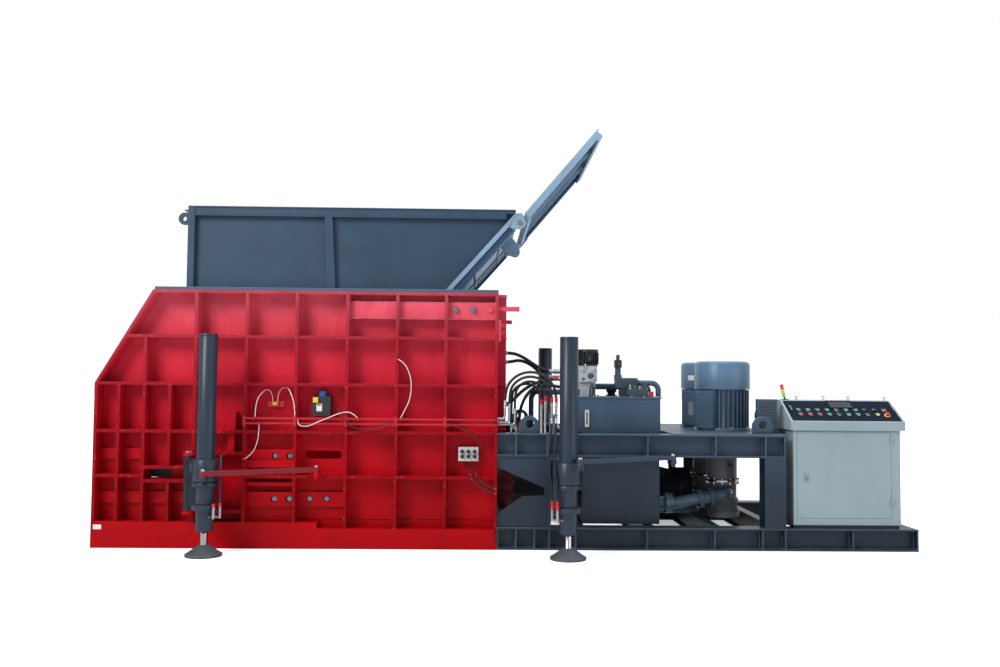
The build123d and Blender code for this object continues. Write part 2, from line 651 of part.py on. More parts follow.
def leg_foot(leg):
    """Jack rod with its piston and the cone foot on a ball neck."""
    section = [(0, 0), (172, 0), (172, 22), (150, 34), (62, 96), (50, 104), (35, 106), (35, 1850),
               (69.95, 1850), (69.95, 1940), (0, 1940)]
    return Pos(leg["x"], leg["y"], 0) * turned(section)


def leg_brace(leg):
    """Flat tie from the leg to the machine's side, with the bolt of its outer end."""
    brace = leg["brace"]
    (px, py), (bx, by) = brace["pin"], brace["body"]
    length = math.hypot(bx - px, by - py)
    angle = math.degrees(math.atan2(by - py, bx - px))
    face = rect(0, length, -30, 30) + disc(0, 0, 34) + disc(length, 0, 34)
    face -= disc(0, 0, BRACE_PIN_R + 0.05)
    bar = extrude(face, amount=brace["high"] - brace["low"])
    bolt = Pos(length, 0, brace["high"] - brace["low"] + 9) * Cylinder(20, 20)
    return Pos(px, py, brace["low"]) * Rot(0, 0, angle) * (bar + bolt)


def hinge_pins():
    """Hinge pins: one at each end of the flap and one for each leg."""
    (hx, hz) = FLAP_HINGE
    near = rod_y(hx, -HOPPER_HALF - 40, -HOPPER_HALF + 60, hz, 23.95)
    pieces = [near, far(near)]
    for leg in LEGS.values():
        low = 345
        high = 945 if leg["x"] < 0 else 918
        pin = rod_z(leg["hinge_x"], HINGE_Y, low, high, PIN_R)
        pin += rod_z(leg["hinge_x"], HINGE_Y, high, high + (12 if leg["x"] < 0 else 3), PIN_R + 12)
        pieces += [pin, far(pin)]
    return pieces


# Oil tank and valves

TANK_Y = (-940, -250)
TANK_TOP = 1505
SUCTION_Y = -600


def oil_tank():
    """Welded tank: a lower box between the beams and a wider upper box above the deck."""
    y0, y1 = TANK_Y
    tank = block(749, 1542, y0, y1, 232, 1166) + block(702, 1552, y0, y1, 1162, TANK_TOP)
    tank += block(690, 1564, y0 - 12, y1 + 12, TANK_TOP - 1, TANK_TOP + 14)
    tank += rod_x(1541, 1600, SUCTION_Y, 404, 74)
    return tank


def tank_fittings():
    """Level gauge, filler neck with its cap, and a suction filter housing."""
    y0 = TANK_Y[0]
    gauge = block(776, 816, y0 - 22, y0, 1212, 1384)
    gauge = gauge - block(786, 806, y0 - 23, y0 - 12, 1236, 1360)
    filler = Pos(1130, -340, TANK_TOP + 14) * turned(
        [(0, 0), (60, 0), (60, 12), (42, 12), (42, 40), (56, 46), (56, 90), (44, 104), (0, 104)]
    )
    filter_body = Pos(861, -860, TANK_TOP + 14) * turned(
        [(0, 0), (36, 0), (36, 16), (30, 24), (30, 96), (18, 112), (18, 124), (0, 124)]
    )
    return [gauge, filler, filter_body]


def valve_block():
    """Main manifold on its stand with a small finned motor, and the pilot valves beside it."""
    top = TANK_TOP + 14
    stand = block(745, 905, -760, -520, top, 1670)
    manifold = block(728, 918, -800, -480, 1670, 1836)
    manifold -= rod_y(853, -801, -740, 1730, 30)
    manifold -= rod_y(775, -801, -770, 1700, 16)
    frame = disc(0, 0, 98)
    for i in range(24):
        frame += Rot(0, 0, 15 * i) * rect(90, 115, -3, 3)
    motor = plate_xy(frame, 1858, 1978) + rod_z(0, 0, 1836, 1859, 104) + rod_z(0, 0, 1977, 2012, 108)
    motor += block(-40, 40, -128, -80, 1880, 1960)
    pieces = [stand + manifold + Pos(843, -600, 0) * motor]
    low_block = block(1117, 1182, -740, -640, 1610, 1694) + block(1181, 1350, -730, -650, 1612, 1714)
    low_block += block(1160, 1300, -720, -660, top, 1613)
    stack = block(1113, 1185, -729, -657, 1693, 1745) + rod_z(1149, -693, 1744, 1880, 30)
    stack += block(1113, 1185, -729, -657, 1822, 1902) + rod_z(1149, -693, 1901, 1956, 18)
    pieces.append(low_block + stack)
    pieces.append(rod_x(1349, 1368, -690, 1663, 36))
    side_valve = block(1226, 1436, -900, -820, top, 1600) + rod_z(1300, -860, 1599, 1640, 26)
    side_valve += block(1380, 1420, -880, -840, 1599, 1660)
    pieces.append(side_valve)
    pieces.append(block(1448, 1492, -880, -836, top, 1576))
    return pieces


def bent_pipe(points, bends, r):
    """A pipe of round section along straight runs joined by arcs."""
    path = FilletPolyline(*points, radius=bends)
    start = path @ 0
    return sweep(Plane(origin=start, z_dir=path % 0) * Circle(r), path=path)


def pipe_lengths(points, bends, r):
    """A pipe as straight lengths and elbows of their own, welded end to end."""
    corners = [Vector(*point) for point in points]
    pieces, start = [], corners[0]
    for before, here, after, bend in zip(corners, corners[1:], corners[2:], bends):
        into, out = (here - before).normalized(), (after - here).normalized()
        reach = bend * math.tan(math.radians(into.get_angle(out)) / 2) + 2
        first, last = here - into * reach, here + out * reach
        pieces.append(straight_pipe(start, first, r))
        pieces.append(bent_pipe([first, here, last], [bend], r))
        start = last
    return pieces + [straight_pipe(start, corners[-1], r)]


def straight_pipe(start, end, r):
    return extrude(Plane(origin=start, z_dir=end - start) * Circle(r), amount=(end - start).length)


def pressure_pipes():
    """Rigid steel pipes: the return pipe over the tank, cylinder lines, leg lines and their couplings."""
    top = TANK_TOP + 14
    port_top = CYL_Z + CYL_R + 70
    pieces = pipe_lengths([(1368, -690, 1663), (1575, -690, 1663), (1575, -690, top)], [75], 28)
    pieces.append(rod_x(905.5, 1116.5, -690, 1640, 14))
    feed = [(260, 0, port_top), (260, 0, 880), (260, -330, 880), (260, -330, 1560), (480, -600, 1560),
            (744.5, -600, 1560)]
    pieces += pipe_lengths(feed, [70, 70, 90, 90], 28)
    back = [(1860, 0, port_top), (1860, 0, 850), (1600, 0, 850), (1600, 0, 1620), (1250, -600, 1620),
            (905.5, -600, 1620)]
    pieces += pipe_lengths(back, [70, 70, 90, 90], 28)
    pieces += wall_pipes()
    for x, y, low, high in LEFT_ELBOWS:
        pieces.append(bent_pipe([(BOX_RIGHT, y, low), (x, y, low), (x, y, high - 55)], [26], 13)
                      + rod_z(x, y, high - 56, high, 15))
    for x, y, low, high in COUPLINGS:
        coupling = rod_z(x, y, low, high - 48, 14) + rod_z(x, y, high - 49, high, 16)
        if (x, y) == BRACKET_AT:
            coupling += block(398, 470, -1310, -1120, 1330, 1345)
            coupling += block(398, 470, -1135, -1120, DECK_BEAM_TOP, 1345)
        pieces.append(coupling)
    for x, y, low, high in PLUGS:
        pieces.append(rod_z(x, y, low, high, 17))
    for y, z in ((-600, 1966), (-560, 1870), (-700, 1411)):
        pieces.append(rod_x(BOX_RIGHT, BOX_RIGHT + 60, y, z, 24))
    for y, z, x in ((-600, 1776, 480), (-560, 1712, 480), (-690, 1700, 520)):
        pieces.append(rod_x(x, x + 75, y, z, 24) + rod_x(x + 74, 727.5, y, z, 15))
    return pieces


def wall_pipes():
    """Two thin pipes along the near wall, with clips on the ribs and unions for the cables."""
    upper, lower = [rod_x(WALL_PIPE_END, BOX_RIGHT + 25, WALL_PIPE_Y, z, 10) for z in WALL_PIPE_Z]
    for x in UNIONS_UPPER:
        upper += block(x - 12, x + 12, -1196, -1152, 1269, 1293)
    for x in UNIONS_LOWER:
        lower += block(x - 12, x + 12, -1196, -1152, 1219, 1243)
    clips = []
    for x in MAIN_RIBS:
        clip = block(x - 14, x + 14, -1176, -HALF_WIDTH, 1205, 1307)
        for z in WALL_PIPE_Z:
            clip -= rod_x(x - 15, x + 15, WALL_PIPE_Y, z, 10)
        clips.append(clip)
    for x, z in WALL_CLAMPS:
        clips.append(block(x - 12, x + 12, -1180, -HALF_WIDTH, z - 12, z + 12))
    return [upper, lower] + clips


# Hoses and cables

WALL_PIPE_END = -2620
WALL_PIPE_Y = -1162
WALL_PIPE_Z = (1281, 1231)
UNIONS_UPPER = (-2523, -2096, -1506, -1083)
UNIONS_LOWER = (-2480, -1160, -608)
WALL_CLAMPS = ((-2626, 880), (-1130, 1880), (-135, 600), (-135, 560))
LEFT_ELBOWS = ((-46, -1130, 1296, 1430), (-3, -1105, 1262, 1395), (54, -1080, 1235, 1345))
COUPLINGS = ((453, -1290, 1310, 1465), (410, -1290, 1310, 1462), (358, -1105, DECK_BEAM_TOP, 1477),
             (318, -1105, DECK_BEAM_TOP, 1440))
BRACKET_AT = (453, -1290)
PLUGS = ((110, -760, DECK_BEAM_TOP, 1195), (20, -1020, DECK_BEAM_TOP, 1200))


HOSE_ROUTES = [
    (17, [(-60, -600, 1966), (40, -600, 1972), (160, -600, 1925), (285, -600, 1838),
            (390, -600, 1783), (480, -600, 1776)]),
    (17, [(-60, -560, 1870), (10, -560, 1872), (130, -560, 1898), (255, -560, 1842),
            (352, -560, 1745), (415, -560, 1717), (480, -560, 1712)]),
    (17, [(-60, -700, 1411), (35, -700, 1450), (130, -700, 1560), (250, -698, 1640),
          (390, -693, 1690), (520, -690, 1700)]),
    (17, [(110, -760, 1195), (112, -760, 1320), (150, -760, 1470), (235, -760, 1590),
          (350, -755, 1640), (480, -740, 1625), (610, -725, 1600), (744.5, -720, 1598)]),
    (13, [(-46, -1130, 1430), (-46, -1130, 1579), (21, -1151, 1695), (137, -1189, 1762),
          (270, -1231, 1762), (386, -1269, 1695), (453, -1290, 1579), (453, -1290, 1465)]),
    (13, [(-3, -1105, 1395), (-3, -1105, 1565), (52, -1130, 1661), (148, -1173, 1716),
          (259, -1222, 1716), (355, -1265, 1661), (410, -1290, 1565), (410, -1290, 1462)]),
    (13, [(54, -1080, 1345), (54, -1080, 1557), (95, -1083, 1627), (165, -1089, 1668),
          (247, -1096, 1668), (317, -1102, 1627), (358, -1105, 1557), (358, -1105, 1477)]),
    (13, [(20, -1020, 1200), (20, -1020, 1536), (60, -1031, 1605), (129, -1051, 1645),
          (209, -1074, 1645), (278, -1094, 1605), (318, -1105, 1536), (318, -1105, 1440)]),
    (12, [(392, -1662, 500), (392, -1662, 620), (370, -1640, 820), (362, -1560, 970),
          (376, -1440, 1070), (400, -1325, 1150), (410, -1290, 1235), (410, -1290, 1310)]),
    (12, [(435, -1723, 500), (435, -1723, 620), (416, -1695, 825), (408, -1600, 975),
          (425, -1460, 1068), (446, -1325, 1150), (453, -1290, 1235), (453, -1290, 1310)]),
]

THIN_ROUTES = [
    (4, [(-2384, -1003, 1438), (-2384, -1003, 1510), (-2425, -1040, 1580), (-2490, -1110, 1520),
         (-2520, -1160, 1420), (-2523, -1162, 1293)]),
    (4, [(-2336, -1003, 1438), (-2336, -1003, 1510), (-2290, -1040, 1585), (-2210, -1110, 1590),
         (-2160, -1163, 1500), (-2132, -1163, 1400), (-2130, -1163, 1307)]),
    (4, [(-2096, -1186, 1269), (-2090, -1186, 1228), (-2060, -1186, 1205), (-1990, -1186, 1208),
         (-1900, -1186, 1250), (-1790, -1186, 1296), (-1660, -1186, 1350), (-1566, -1186, 1352), (-1506, -1186, 1293)]),
    (4, [(-1118, -1165, 1880), (-1060, -1165, 1852), (-1002, -1165, 1750), (-977, -1165, 1625),
         (-992, -1165, 1480), (-1050, -1165, 1360), (-1083, -1165, 1293)]),
    (4, [(-2480, -1165, 1219), (-2480, -1165, 1130), (-2498, -1165, 1030), (-2540, -1165, 930),
         (-2614, -1165, 880)]),
    (5, [(-1792, -1040, 1400), (-1750, -1060, 1400), (-1712, -1150, 1380), (-1668, -1190, 1312),
         (-1610, -1190, 1235), (-1540, -1190, 1192), (-1435, -1188, 1178), (-1290, -1188, 1190),
         (-1172, -1188, 1231)]),
    (5, [(-596, -1188, 1231), (-530, -1188, 1218), (-430, -1188, 1176), (-340, -1176, 1110),
         (-272, -1130, 1015), (-248, -1070, 955), (-307, -1028, 936)]),
    (7, [(-360, -1020, 866), (-360, -1045, 815), (-346, -1125, 776), (-320, -1168, 726),
         (-240, -1168, 640), (-147, -1166, 600)]),
    (7, [(-420, -1020, 866), (-420, -1045, 815), (-405, -1125, 774), (-378, -1168, 724),
         (-280, -1168, 600), (-147, -1166, 560)]),
]


def hose(radius, route):
    """A plain tube along a route, with arcs as large as its runs allow."""
    points = [Vector(*p) for p in route]
    radii = []
    for before, here, after in zip(points, points[1:], points[2:]):
        turn = math.radians((here - before).get_angle(after - here))
        shorter = min((here - before).length, (after - here).length)
        radii.append(0.45 * shorter / math.tan(turn / 2))
    path = FilletPolyline(*points, radius=radii)
    tube = sweep(Plane(origin=path @ 0, z_dir=path % 0) * Circle(radius), path=path)
    ratio = tube.volume / (math.pi * radius**2 * path.length)
    print("hose radius", radius, "least bend", round(min(radii)), "length", round(path.length),
          "volume ratio", round(ratio, 4))
    return tube


# Motors, pumps and cooler

MOTOR_X = 2338
MOTOR_Y = 350
MOTOR_TOP = 1600
COOLER_AXIS = (2655, 1338)


def motor_body(y):
    """Vertical motor: finned frame, foot flange, terminal box and a lifting eye."""
    low = DECK_BEAM_TOP + DECK_PLATE
    face = disc(0, 0, 248)
    for i in range(36):
        face += Rot(0, 0, 10 * i) * rect(230, 284, -4, 4)
    body = plate_xy(face, low + 30, MOTOR_TOP - 4)
    body += rod_z(0, 0, low, low + 31, 300)
    body += rod_z(0, 0, MOTOR_TOP - 5, MOTOR_TOP, 250)
    body += Rot(0, 0, -140) * block(200, 320, -110, 110, low + 30, MOTOR_TOP - 10)
    body += rod_z(0, 0, low - 120, low + 1, 140)
    body -= rod_z(0, 0, MOTOR_TOP - 60, MOTOR_TOP + 1, 25)
    return Pos(MOTOR_X, y, 0) * body


def motor_cowl(y):
    """Fan cowl with a slotted crown."""
    low, high = MOTOR_TOP + 1, 1902
    shell = turned([(289, low), (293, low), (293, high - 34), (278, high - 8), (250, high), (0, high),
                    (0, high - 5), (248, high - 5), (273, high - 13), (289, high - 36)])
    slots = Sketch()
    for i in range(20):
        slots += Rot(0, 0, 18 * i) * rect(95, 235, -8, 8)
    shell -= extrude(Plane.XY.offset(high - 10) * slots, amount=20)
    for i in range(4):
        foot = Rot(0, 0, 45 + 90 * i) * block(249.5, 290, -15, 15, low, low + 25)
        shell += foot
    return Pos(MOTOR_X, y, 0) * shell


def motor_fan(y):
    """Cooling fan on the upper shaft end."""
    fan = rod_z(0, 0, MOTOR_TOP - 55, 1760, 24.95) + rod_z(0, 0, 1690, 1770, 70)
    for i in range(7):
        fan += Rot(0, 0, 360 / 7 * i) * (Pos(155, 0, 1730) * Box(190, 6, 76))
    return Pos(MOTOR_X, y, 0) * fan


def pump_set(y):
    """Bell housing under the deck and the pump hung from it, with its suction port."""
    bell = turned([(0, 615), (180, 615), (180, 640), (155, 640), (155, DECK_BEAM_TOP), (141, DECK_BEAM_TOP),
                   (141, 1025), (0, 1025)])
    for angle in (-71, 109):
        bell -= Rot(0, 0, angle) * rod_x(100, 160, 0, 821, 40)
    pump = turned([(0, 236), (178, 236), (178, 296), (158, 296), (158, 402), (168, 410), (168, 432),
                   (150, 440), (150, 575), (166, 585), (166, 614.5), (0, 614.5)])
    for i in range(8):
        pump += Rot(0, 0, 45 * i + 10) * rod_z(168, 0, 295, 312, 9)
    if y < 0:
        pump += rod_y(0, -158.4, -100, 507, 66)
    else:
        pump += rod_x(-175, -100, 0, 540, 62)
    return [Pos(MOTOR_X, y, 0) * bell, Pos(MOTOR_X, y, 0) * pump]


def suction_pipes():
    """Suction lines from the tank: the near one through a valve, rising to the near pump."""
    y, z, far_face = SUCTION_Y, 404, MOTOR_X - 175.5
    valve = rod_x(1600.5, 1700, y, z, 74) + rod_x(1660, 1700, y, z, 105)
    bend, rise = (1770, 404), (MOTOR_X, 507)
    near = pipe_lengths([(1700.5, y, z), (bend[0], y, bend[1]), (rise[0], y, rise[1]),
                         (rise[0], -MOTOR_Y - 158.5, rise[1])], [200, 80], 63)
    near[0] += rod_x(1700.5, 1735, y, z, 105)
    slope = math.degrees(math.atan2(rise[1] - bend[1], rise[0] - bend[0]))
    for x in (2040, 2160):
        at_z = bend[1] + (x - bend[0]) * (rise[1] - bend[1]) / (rise[0] - bend[0])
        joint = Cylinder(78, 34) + Pos(0, 0, 10) * Cylinder(94, 14) + Pos(0, 0, -10) * Cylinder(94, 14)
        for i in range(6):
            joint += Rot(0, 0, 60 * i) * Pos(86, 0, 0) * Cylinder(6, 50)
        near[2] += Pos(x, y, at_z) * Rot(0, 90 - slope, 0) * joint
    far_line = [(1542.5, -295, 300), (2072, -295, 300), (2072, MOTOR_Y, 300), (2072, MOTOR_Y, 540),
                (far_face, MOTOR_Y, 540)]
    return [valve] + near + pipe_lengths(far_line, [70, 70, 45], 38)


def oil_cooler():
    """Air blast cooler: a louvred core in its frame, with a round fan shroud and a motor behind."""
    low = DECK_BEAM_TOP + DECK_PLATE
    x, z = COOLER_AXIS
    core = block(2550, 2760, -930, -870, low, 1508)
    for i in range(12):
        gap = low + 22 + 26 * i
        core -= block(2566, 2744, -931, -914, gap, gap + 15)
    core -= rod_y(x, -900, -869, z, 92)
    shroud = rod_y(x, -871, -800, z, 98) - rod_y(x, -872, -799, z, 92)
    motor = rod_y(x, -812, -690, z, 52)
    for i in range(4):
        motor += Pos(x, 0, z) * Rot(0, 45 + 90 * i, 0) * block(45, 96, -812, -801, -7, 7)
    foot = block(2600, 2710, -800, -700, low, low + 10) + block(2648, 2662, -790, -710, low + 9, z - 40)
    return core + shroud + motor + foot - rod_y(x, -813, -760, z, 12)


def cooler_fan():
    """Axial fan of the cooler."""
    x, z = COOLER_AXIS
    fan = rod_y(x, -866, -770, z, 11.95) + rod_y(x, -866, -825, z, 32)
    for i in range(6):
        fan += Pos(x, -845, z) * Rot(0, 60 * i, 0) * Pos(58, 0, 0) * Rot(25, 0, 0) * Box(64, 30, 5)
    return fan


# Control desk

DESK_X = (2869, 3958)
DESK_Y = (-1090, -545)
DESK_LOW = 253
DESK_TOP = 1204
PANEL_FRONT = (-1125, 1292)
PANEL_REAR = (-760, 1500)
DOOR_X = (2908, 3862)
DOOR_Z = (322, 1188)
BUTTON_X = 2976
BUTTON_STEP = 98.5
ROWS = (124, 210)
PANEL_CENTRE = (3418, 210)
PANEL_SIZE = (1116, 392)


def console_cabinet():
    """Sheet cabinet of the desk on its plinth, open at the front for the door."""
    (x0, x1), (y0, y1) = DESK_X, DESK_Y
    sheet = 4
    shell = block(x0, x1, y0, y1, DESK_LOW, DESK_TOP)
    shell -= block(x0 + sheet, x1 - sheet, y0 + sheet, y1 - sheet, DESK_LOW + sheet, DESK_TOP - sheet)
    shell += block(DOOR_X[0] - 39, DOOR_X[1] + 96, y0, y0 + 30, DESK_LOW, DESK_TOP)
    shell -= block(DOOR_X[0] - 3, DOOR_X[1] + 3, y0 - 1, y0 + 31, DOOR_Z[0] - 3, DOOR_Z[1] + 3)
    plinth = block(x0 + 10, x1 - 10, y0 + 12, y1, BASE_H, DESK_LOW + 1)
    plinth -= block(x0 + 50, x1 - 50, y0 + 52, y1 - 40, BASE_H - 1, DESK_LOW + 2)
    rack = block(x0 + 120, x1 - 120, y1 - 30, y1 - 3, 420, 1080)
    cabinet = shell + plinth + rack + desk_housing()
    hinge_x, hinge_y = DOOR_X[1] + 5, y0 - 8
    for z in (490.5, 1110.5):
        cabinet += rod_z(hinge_x, hinge_y, z, z + 30, 8)
        cabinet += block(hinge_x, hinge_x + 18, y0 - 15.9, y0 + 1, z, z + 30)
    return cabinet


def console_door():
    """Door pan with folded edges, a swing handle and hinge knuckles."""
    (x0, x1), (z0, z1) = DOOR_X, DOOR_Z
    y = DESK_Y[0]
    door = block(x0, x1, y, y + 20, z0, z1) - block(x0 + 3, x1 - 3, y + 3, y + 21, z0 + 3, z1 - 3)
    door += block(x0 + 78, x0 + 104, y - 14, y + 1, 690, 776)
    for z in (430, 1050):
        door += rod_z(x1 + 5, y - 8, z, z + 60, 8) + block(x1 - 6, x1 + 5, y - 15.9, y - 0.5, z, z + 60)
        door += block(x1 - 6, x1, y - 1, y + 1, z, z + 60)
    return door


def panel_point(x, t, lift):
    """A point of the sloping panel: along X, up the slope, and out of it."""
    (y0, z0), (y1, z1) = PANEL_FRONT, PANEL_REAR
    length = math.hypot(y1 - y0, z1 - z0)
    sy, sz = (y1 - y0) / length, (z1 - z0) / length
    return (x, y0 + sy * t - sz * lift, z0 + sz * t + sy * lift)


def on_panel(x, t):
    """Place whose Z stands out of the sloping panel."""
    (y0, z0), (y1, z1) = PANEL_FRONT, PANEL_REAR
    tilt = math.degrees(math.atan2(z1 - z0, y1 - y0))
    return Pos(*panel_point(x, t, 0)) * Rot(tilt, 0, 0)


def desk_housing():
    """Hollow housing on top of the cabinet, open in its slope for the panel."""
    rear = DESK_Y[1]
    section = outline([(PANEL_FRONT[0], DESK_TOP), PANEL_FRONT, PANEL_REAR, (rear, 1500), (rear, DESK_TOP)])
    hollow = outline([(PANEL_FRONT[0] + 5, DESK_TOP + 4), (PANEL_FRONT[0] + 5, PANEL_FRONT[1] - 3),
                      (PANEL_REAR[0] + 2, 1495), (rear - 5, 1495), (rear - 5, DESK_TOP + 4)])
    housing = plate_yz(section, 2838, 3998) - plate_yz(hollow, 2842, 3994)
    return housing - on_panel(*PANEL_CENTRE) * Box(*PANEL_SIZE, 60)


def console_panel():
    """Sloping panel with its buttons, lamps, screen and grips."""
    top = on_panel(*PANEL_CENTRE) * Pos(0, 0, -2.5) * Box(*PANEL_SIZE, 5)
    for row, t in enumerate(ROWS):
        for i in range(10):
            place = on_panel(BUTTON_X + BUTTON_STEP * i, t)
            if (row, i) in MOVING_BUTTONS:
                top -= place * Cylinder(11.05, 40)
                continue
            top += place * Pos(0, 0, 4) * Cylinder(16, 10)
    screen = on_panel(3440, 325) * Pos(0, 0, 4) * Box(270, 150, 10)
    top += screen - on_panel(3440, 325) * Pos(0, 0, 8) * Box(232, 118, 4)
    for x in (2890, 3946):
        grip = Sketch() + rect(-46, 46, 0, 34) - rect(-36, 36, -1, 24)
        bar = extrude(Plane.YZ * grip, amount=10)
        top += on_panel(x - 5, 215) * bar
    return top


MOVING_BUTTONS = {(1, 7): "selector_left", (1, 8): "selector_right", (0, 9): "emergency_stop"}


def selector(i):
    """Turn switch: stem, round bezel and a raised grip bar."""
    knob = Pos(0, 0, -2) * Cylinder(11, 30) + Pos(0, 0, 7) * Cylinder(15, 12)
    knob += Pos(0, 0, 18) * Box(7, 28, 14)
    return on_panel(BUTTON_X + BUTTON_STEP * i, ROWS[1]) * knob


def emergency_stop():
    """Mushroom head on its stem."""
    head = turned([(0, -16), (11, -16), (11, 13), (20, 14), (22, 18), (21, 26), (14, 31), (0, 33)])
    return on_panel(BUTTON_X + BUTTON_STEP * 9, ROWS[0]) * head


def tower_light():
    """Signal tower on a tilted stem."""
    light = Cylinder(17, 6, align=(Align.CENTER, Align.CENTER, Align.MIN))
    light += Pos(0, 0, 5) * Cylinder(9, 26, align=(Align.CENTER, Align.CENTER, Align.MIN))
    for i in range(3):
        light += Pos(0, 0, 30 + 41 * i) * Cylinder(17, 38, align=(Align.CENTER, Align.CENTER, Align.MIN))
        light += Pos(0, 0, 67 + 41 * i) * Cylinder(14, 5, align=(Align.CENTER, Align.CENTER, Align.MIN))
    light += Pos(0, 0, 152) * Cylinder(17, 7, align=(Align.CENTER, Align.CENTER, Align.MIN))
    foot = block(2880, 2950, -725, -655, 1500, 1506)
    return foot + Pos(2915, -690, 1504) * Rot(0, -13, 0) * light


# Small items on the near side wall

def junction_box():
    """Terminal box with six glands in its face."""
    box = block(-509, -307, -1062, -SKIN_OUT, 866, 1005)
    for i in range(3):
        for z in (912, 962):
            box += rod_y(-470 + 62 * i, -1084, -1061, z, 19)
    return box


def grease_pump():
    """Grease pump with its reservoir, and the divider block beside it."""
    body = block(-1978, -1792, -1075, -SKIN_OUT, 1307, 1500)
    body += rod_z(-1880, -1022, 1499, 1556, 44)
    body += block(-1965, -1915, -1100, -1074, 1440, 1492)
    plate = block(-2435, -2269, -990, -SKIN_OUT, 1388, 1450)
    plate += block(-2398, -2322, -1016, -989, 1400, 1438)
    return [body, plate]


EXPORTS = {
    "near_side_wall": side_wall(rod_window=True),
    "box_floor": box_floor(),
    "front_end_frame": front_end_frame(),
    "rear_end_plate": rear_end_plate(),
    "top_deck_plate": top_deck_plate(),
    "blade_frame": blade_frame(),
    "fixed_blades": fixed_blades(),
    "ram_carriage": ram_carriage(),
    "moving_blades": moving_blades(),
    "main_cylinder": main_cylinder(),
    "piston_rod": piston_rod(),
    "hopper_near_side": hopper_side(),
    "hopper_end_wall": hopper_end_wall(),
    "hopper_chute": hopper_chute(),
    "hopper_flap": hopper_flap(),
    "base_frame": base_frame(),
    "deck_frame": deck_frame(),
    "frame_posts": frame_posts(),
    "hinge_pins": hinge_pins(),
    "oil_tank": oil_tank(),
    "tank_fittings": tank_fittings(),
    "valve_block": valve_block(),
    "pressure_pipes": pressure_pipes(),
    "drive_motors": [motor_body(-MOTOR_Y), motor_body(MOTOR_Y)],
    "motor_cowls": [motor_cowl(-MOTOR_Y), motor_cowl(MOTOR_Y)],
    "motor_fan_near": motor_fan(-MOTOR_Y),
    "motor_fan_far": motor_fan(MOTOR_Y),
    "pump_sets": pump_set(-MOTOR_Y) + pump_set(MOTOR_Y),
    "suction_pipes": suction_pipes(),
    "oil_cooler": oil_cooler(),
    "cooler_fan": cooler_fan(),
    "console_cabinet": console_cabinet(),
    "console_door": console_door(),
    "console_panel": console_panel(),
    "selector_left": selector(7),
    "selector_right": selector(8),
    "emergency_stop": emergency_stop(),
    "tower_light": tower_light(),
    "junction_box": junction_box(),
    "grease_pump": grease_pump(),
}
EXPORTS["hydraulic_hoses"] = [hose(*route) for route in HOSE_ROUTES]
EXPORTS["thin_cables"] = [hose(*route) for route in THIN_ROUTES]
EXPORTS["far_side_wall"] = [far(piece) for piece in side_wall(rod_window=False)]
EXPORTS["hopper_far_side"] = far(EXPORTS["hopper_near_side"])
for side, leg in LEGS.items():
    for name, make in (("arm", leg_arm), ("barrel", leg_barrel), ("foot", leg_foot), ("brace", leg_brace)):
        near_piece = make(leg)
        EXPORTS[f"leg_{name}_{side}_near"] = near_piece
        EXPORTS[f"leg_{name}_{side}_far"] = far(near_piece)

for node, shape in EXPORTS.items():
    solids = shape if isinstance(shape, list) else [shape]
    flat = [solid for piece in solids for solid in piece.solids()]
    export_step(Compound(children=flat) if len(flat) > 1 else flat[0], f"parts/{node}.step")
print(len(EXPORTS), "nodes")
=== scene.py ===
import math
import random

import bmesh
import bpy
from mathutils import Matrix, Vector


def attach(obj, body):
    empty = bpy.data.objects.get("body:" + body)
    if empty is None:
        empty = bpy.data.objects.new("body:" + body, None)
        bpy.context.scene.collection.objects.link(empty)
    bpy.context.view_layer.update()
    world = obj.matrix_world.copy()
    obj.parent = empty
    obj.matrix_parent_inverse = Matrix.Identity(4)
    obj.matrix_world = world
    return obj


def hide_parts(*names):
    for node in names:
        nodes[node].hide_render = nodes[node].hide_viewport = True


random.seed(7)
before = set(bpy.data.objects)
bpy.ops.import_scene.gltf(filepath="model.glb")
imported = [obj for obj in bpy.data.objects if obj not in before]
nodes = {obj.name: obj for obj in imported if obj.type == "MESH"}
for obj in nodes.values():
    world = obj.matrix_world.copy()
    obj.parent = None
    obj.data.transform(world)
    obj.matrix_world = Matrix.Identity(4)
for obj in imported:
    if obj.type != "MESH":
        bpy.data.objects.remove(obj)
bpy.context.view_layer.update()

# Camera, from the photograph's solved view
CAMERA_AT = (-0.3146, -10.65, 1.6826)
CAMERA_YAW = math.radians(1.2757)
CAMERA_PITCH = math.radians(2.795)
CAMERA_ROLL = math.radians(0.5166)
CAMERA_LENS = 34.2

camera = bpy.data.objects.new("camera", bpy.data.cameras.new("camera"))
camera.data.lens = CAMERA_LENS
camera.data.clip_end = 200
camera.matrix_world = (
    Matrix.Translation(CAMERA_AT)
    @ Matrix.Rotation(-CAMERA_YAW, 4, "Z")
    @ Matrix.Rotation(math.pi / 2 + CAMERA_PITCH, 4, "X")
    @ Matrix.Rotation(CAMERA_ROLL, 4, "Z")
)
bpy.context.scene.collection.objects.link(camera)
bpy.context.scene.camera = camera
bpy.context.scene.view_settings.view_transform = "Standard"


# Materials

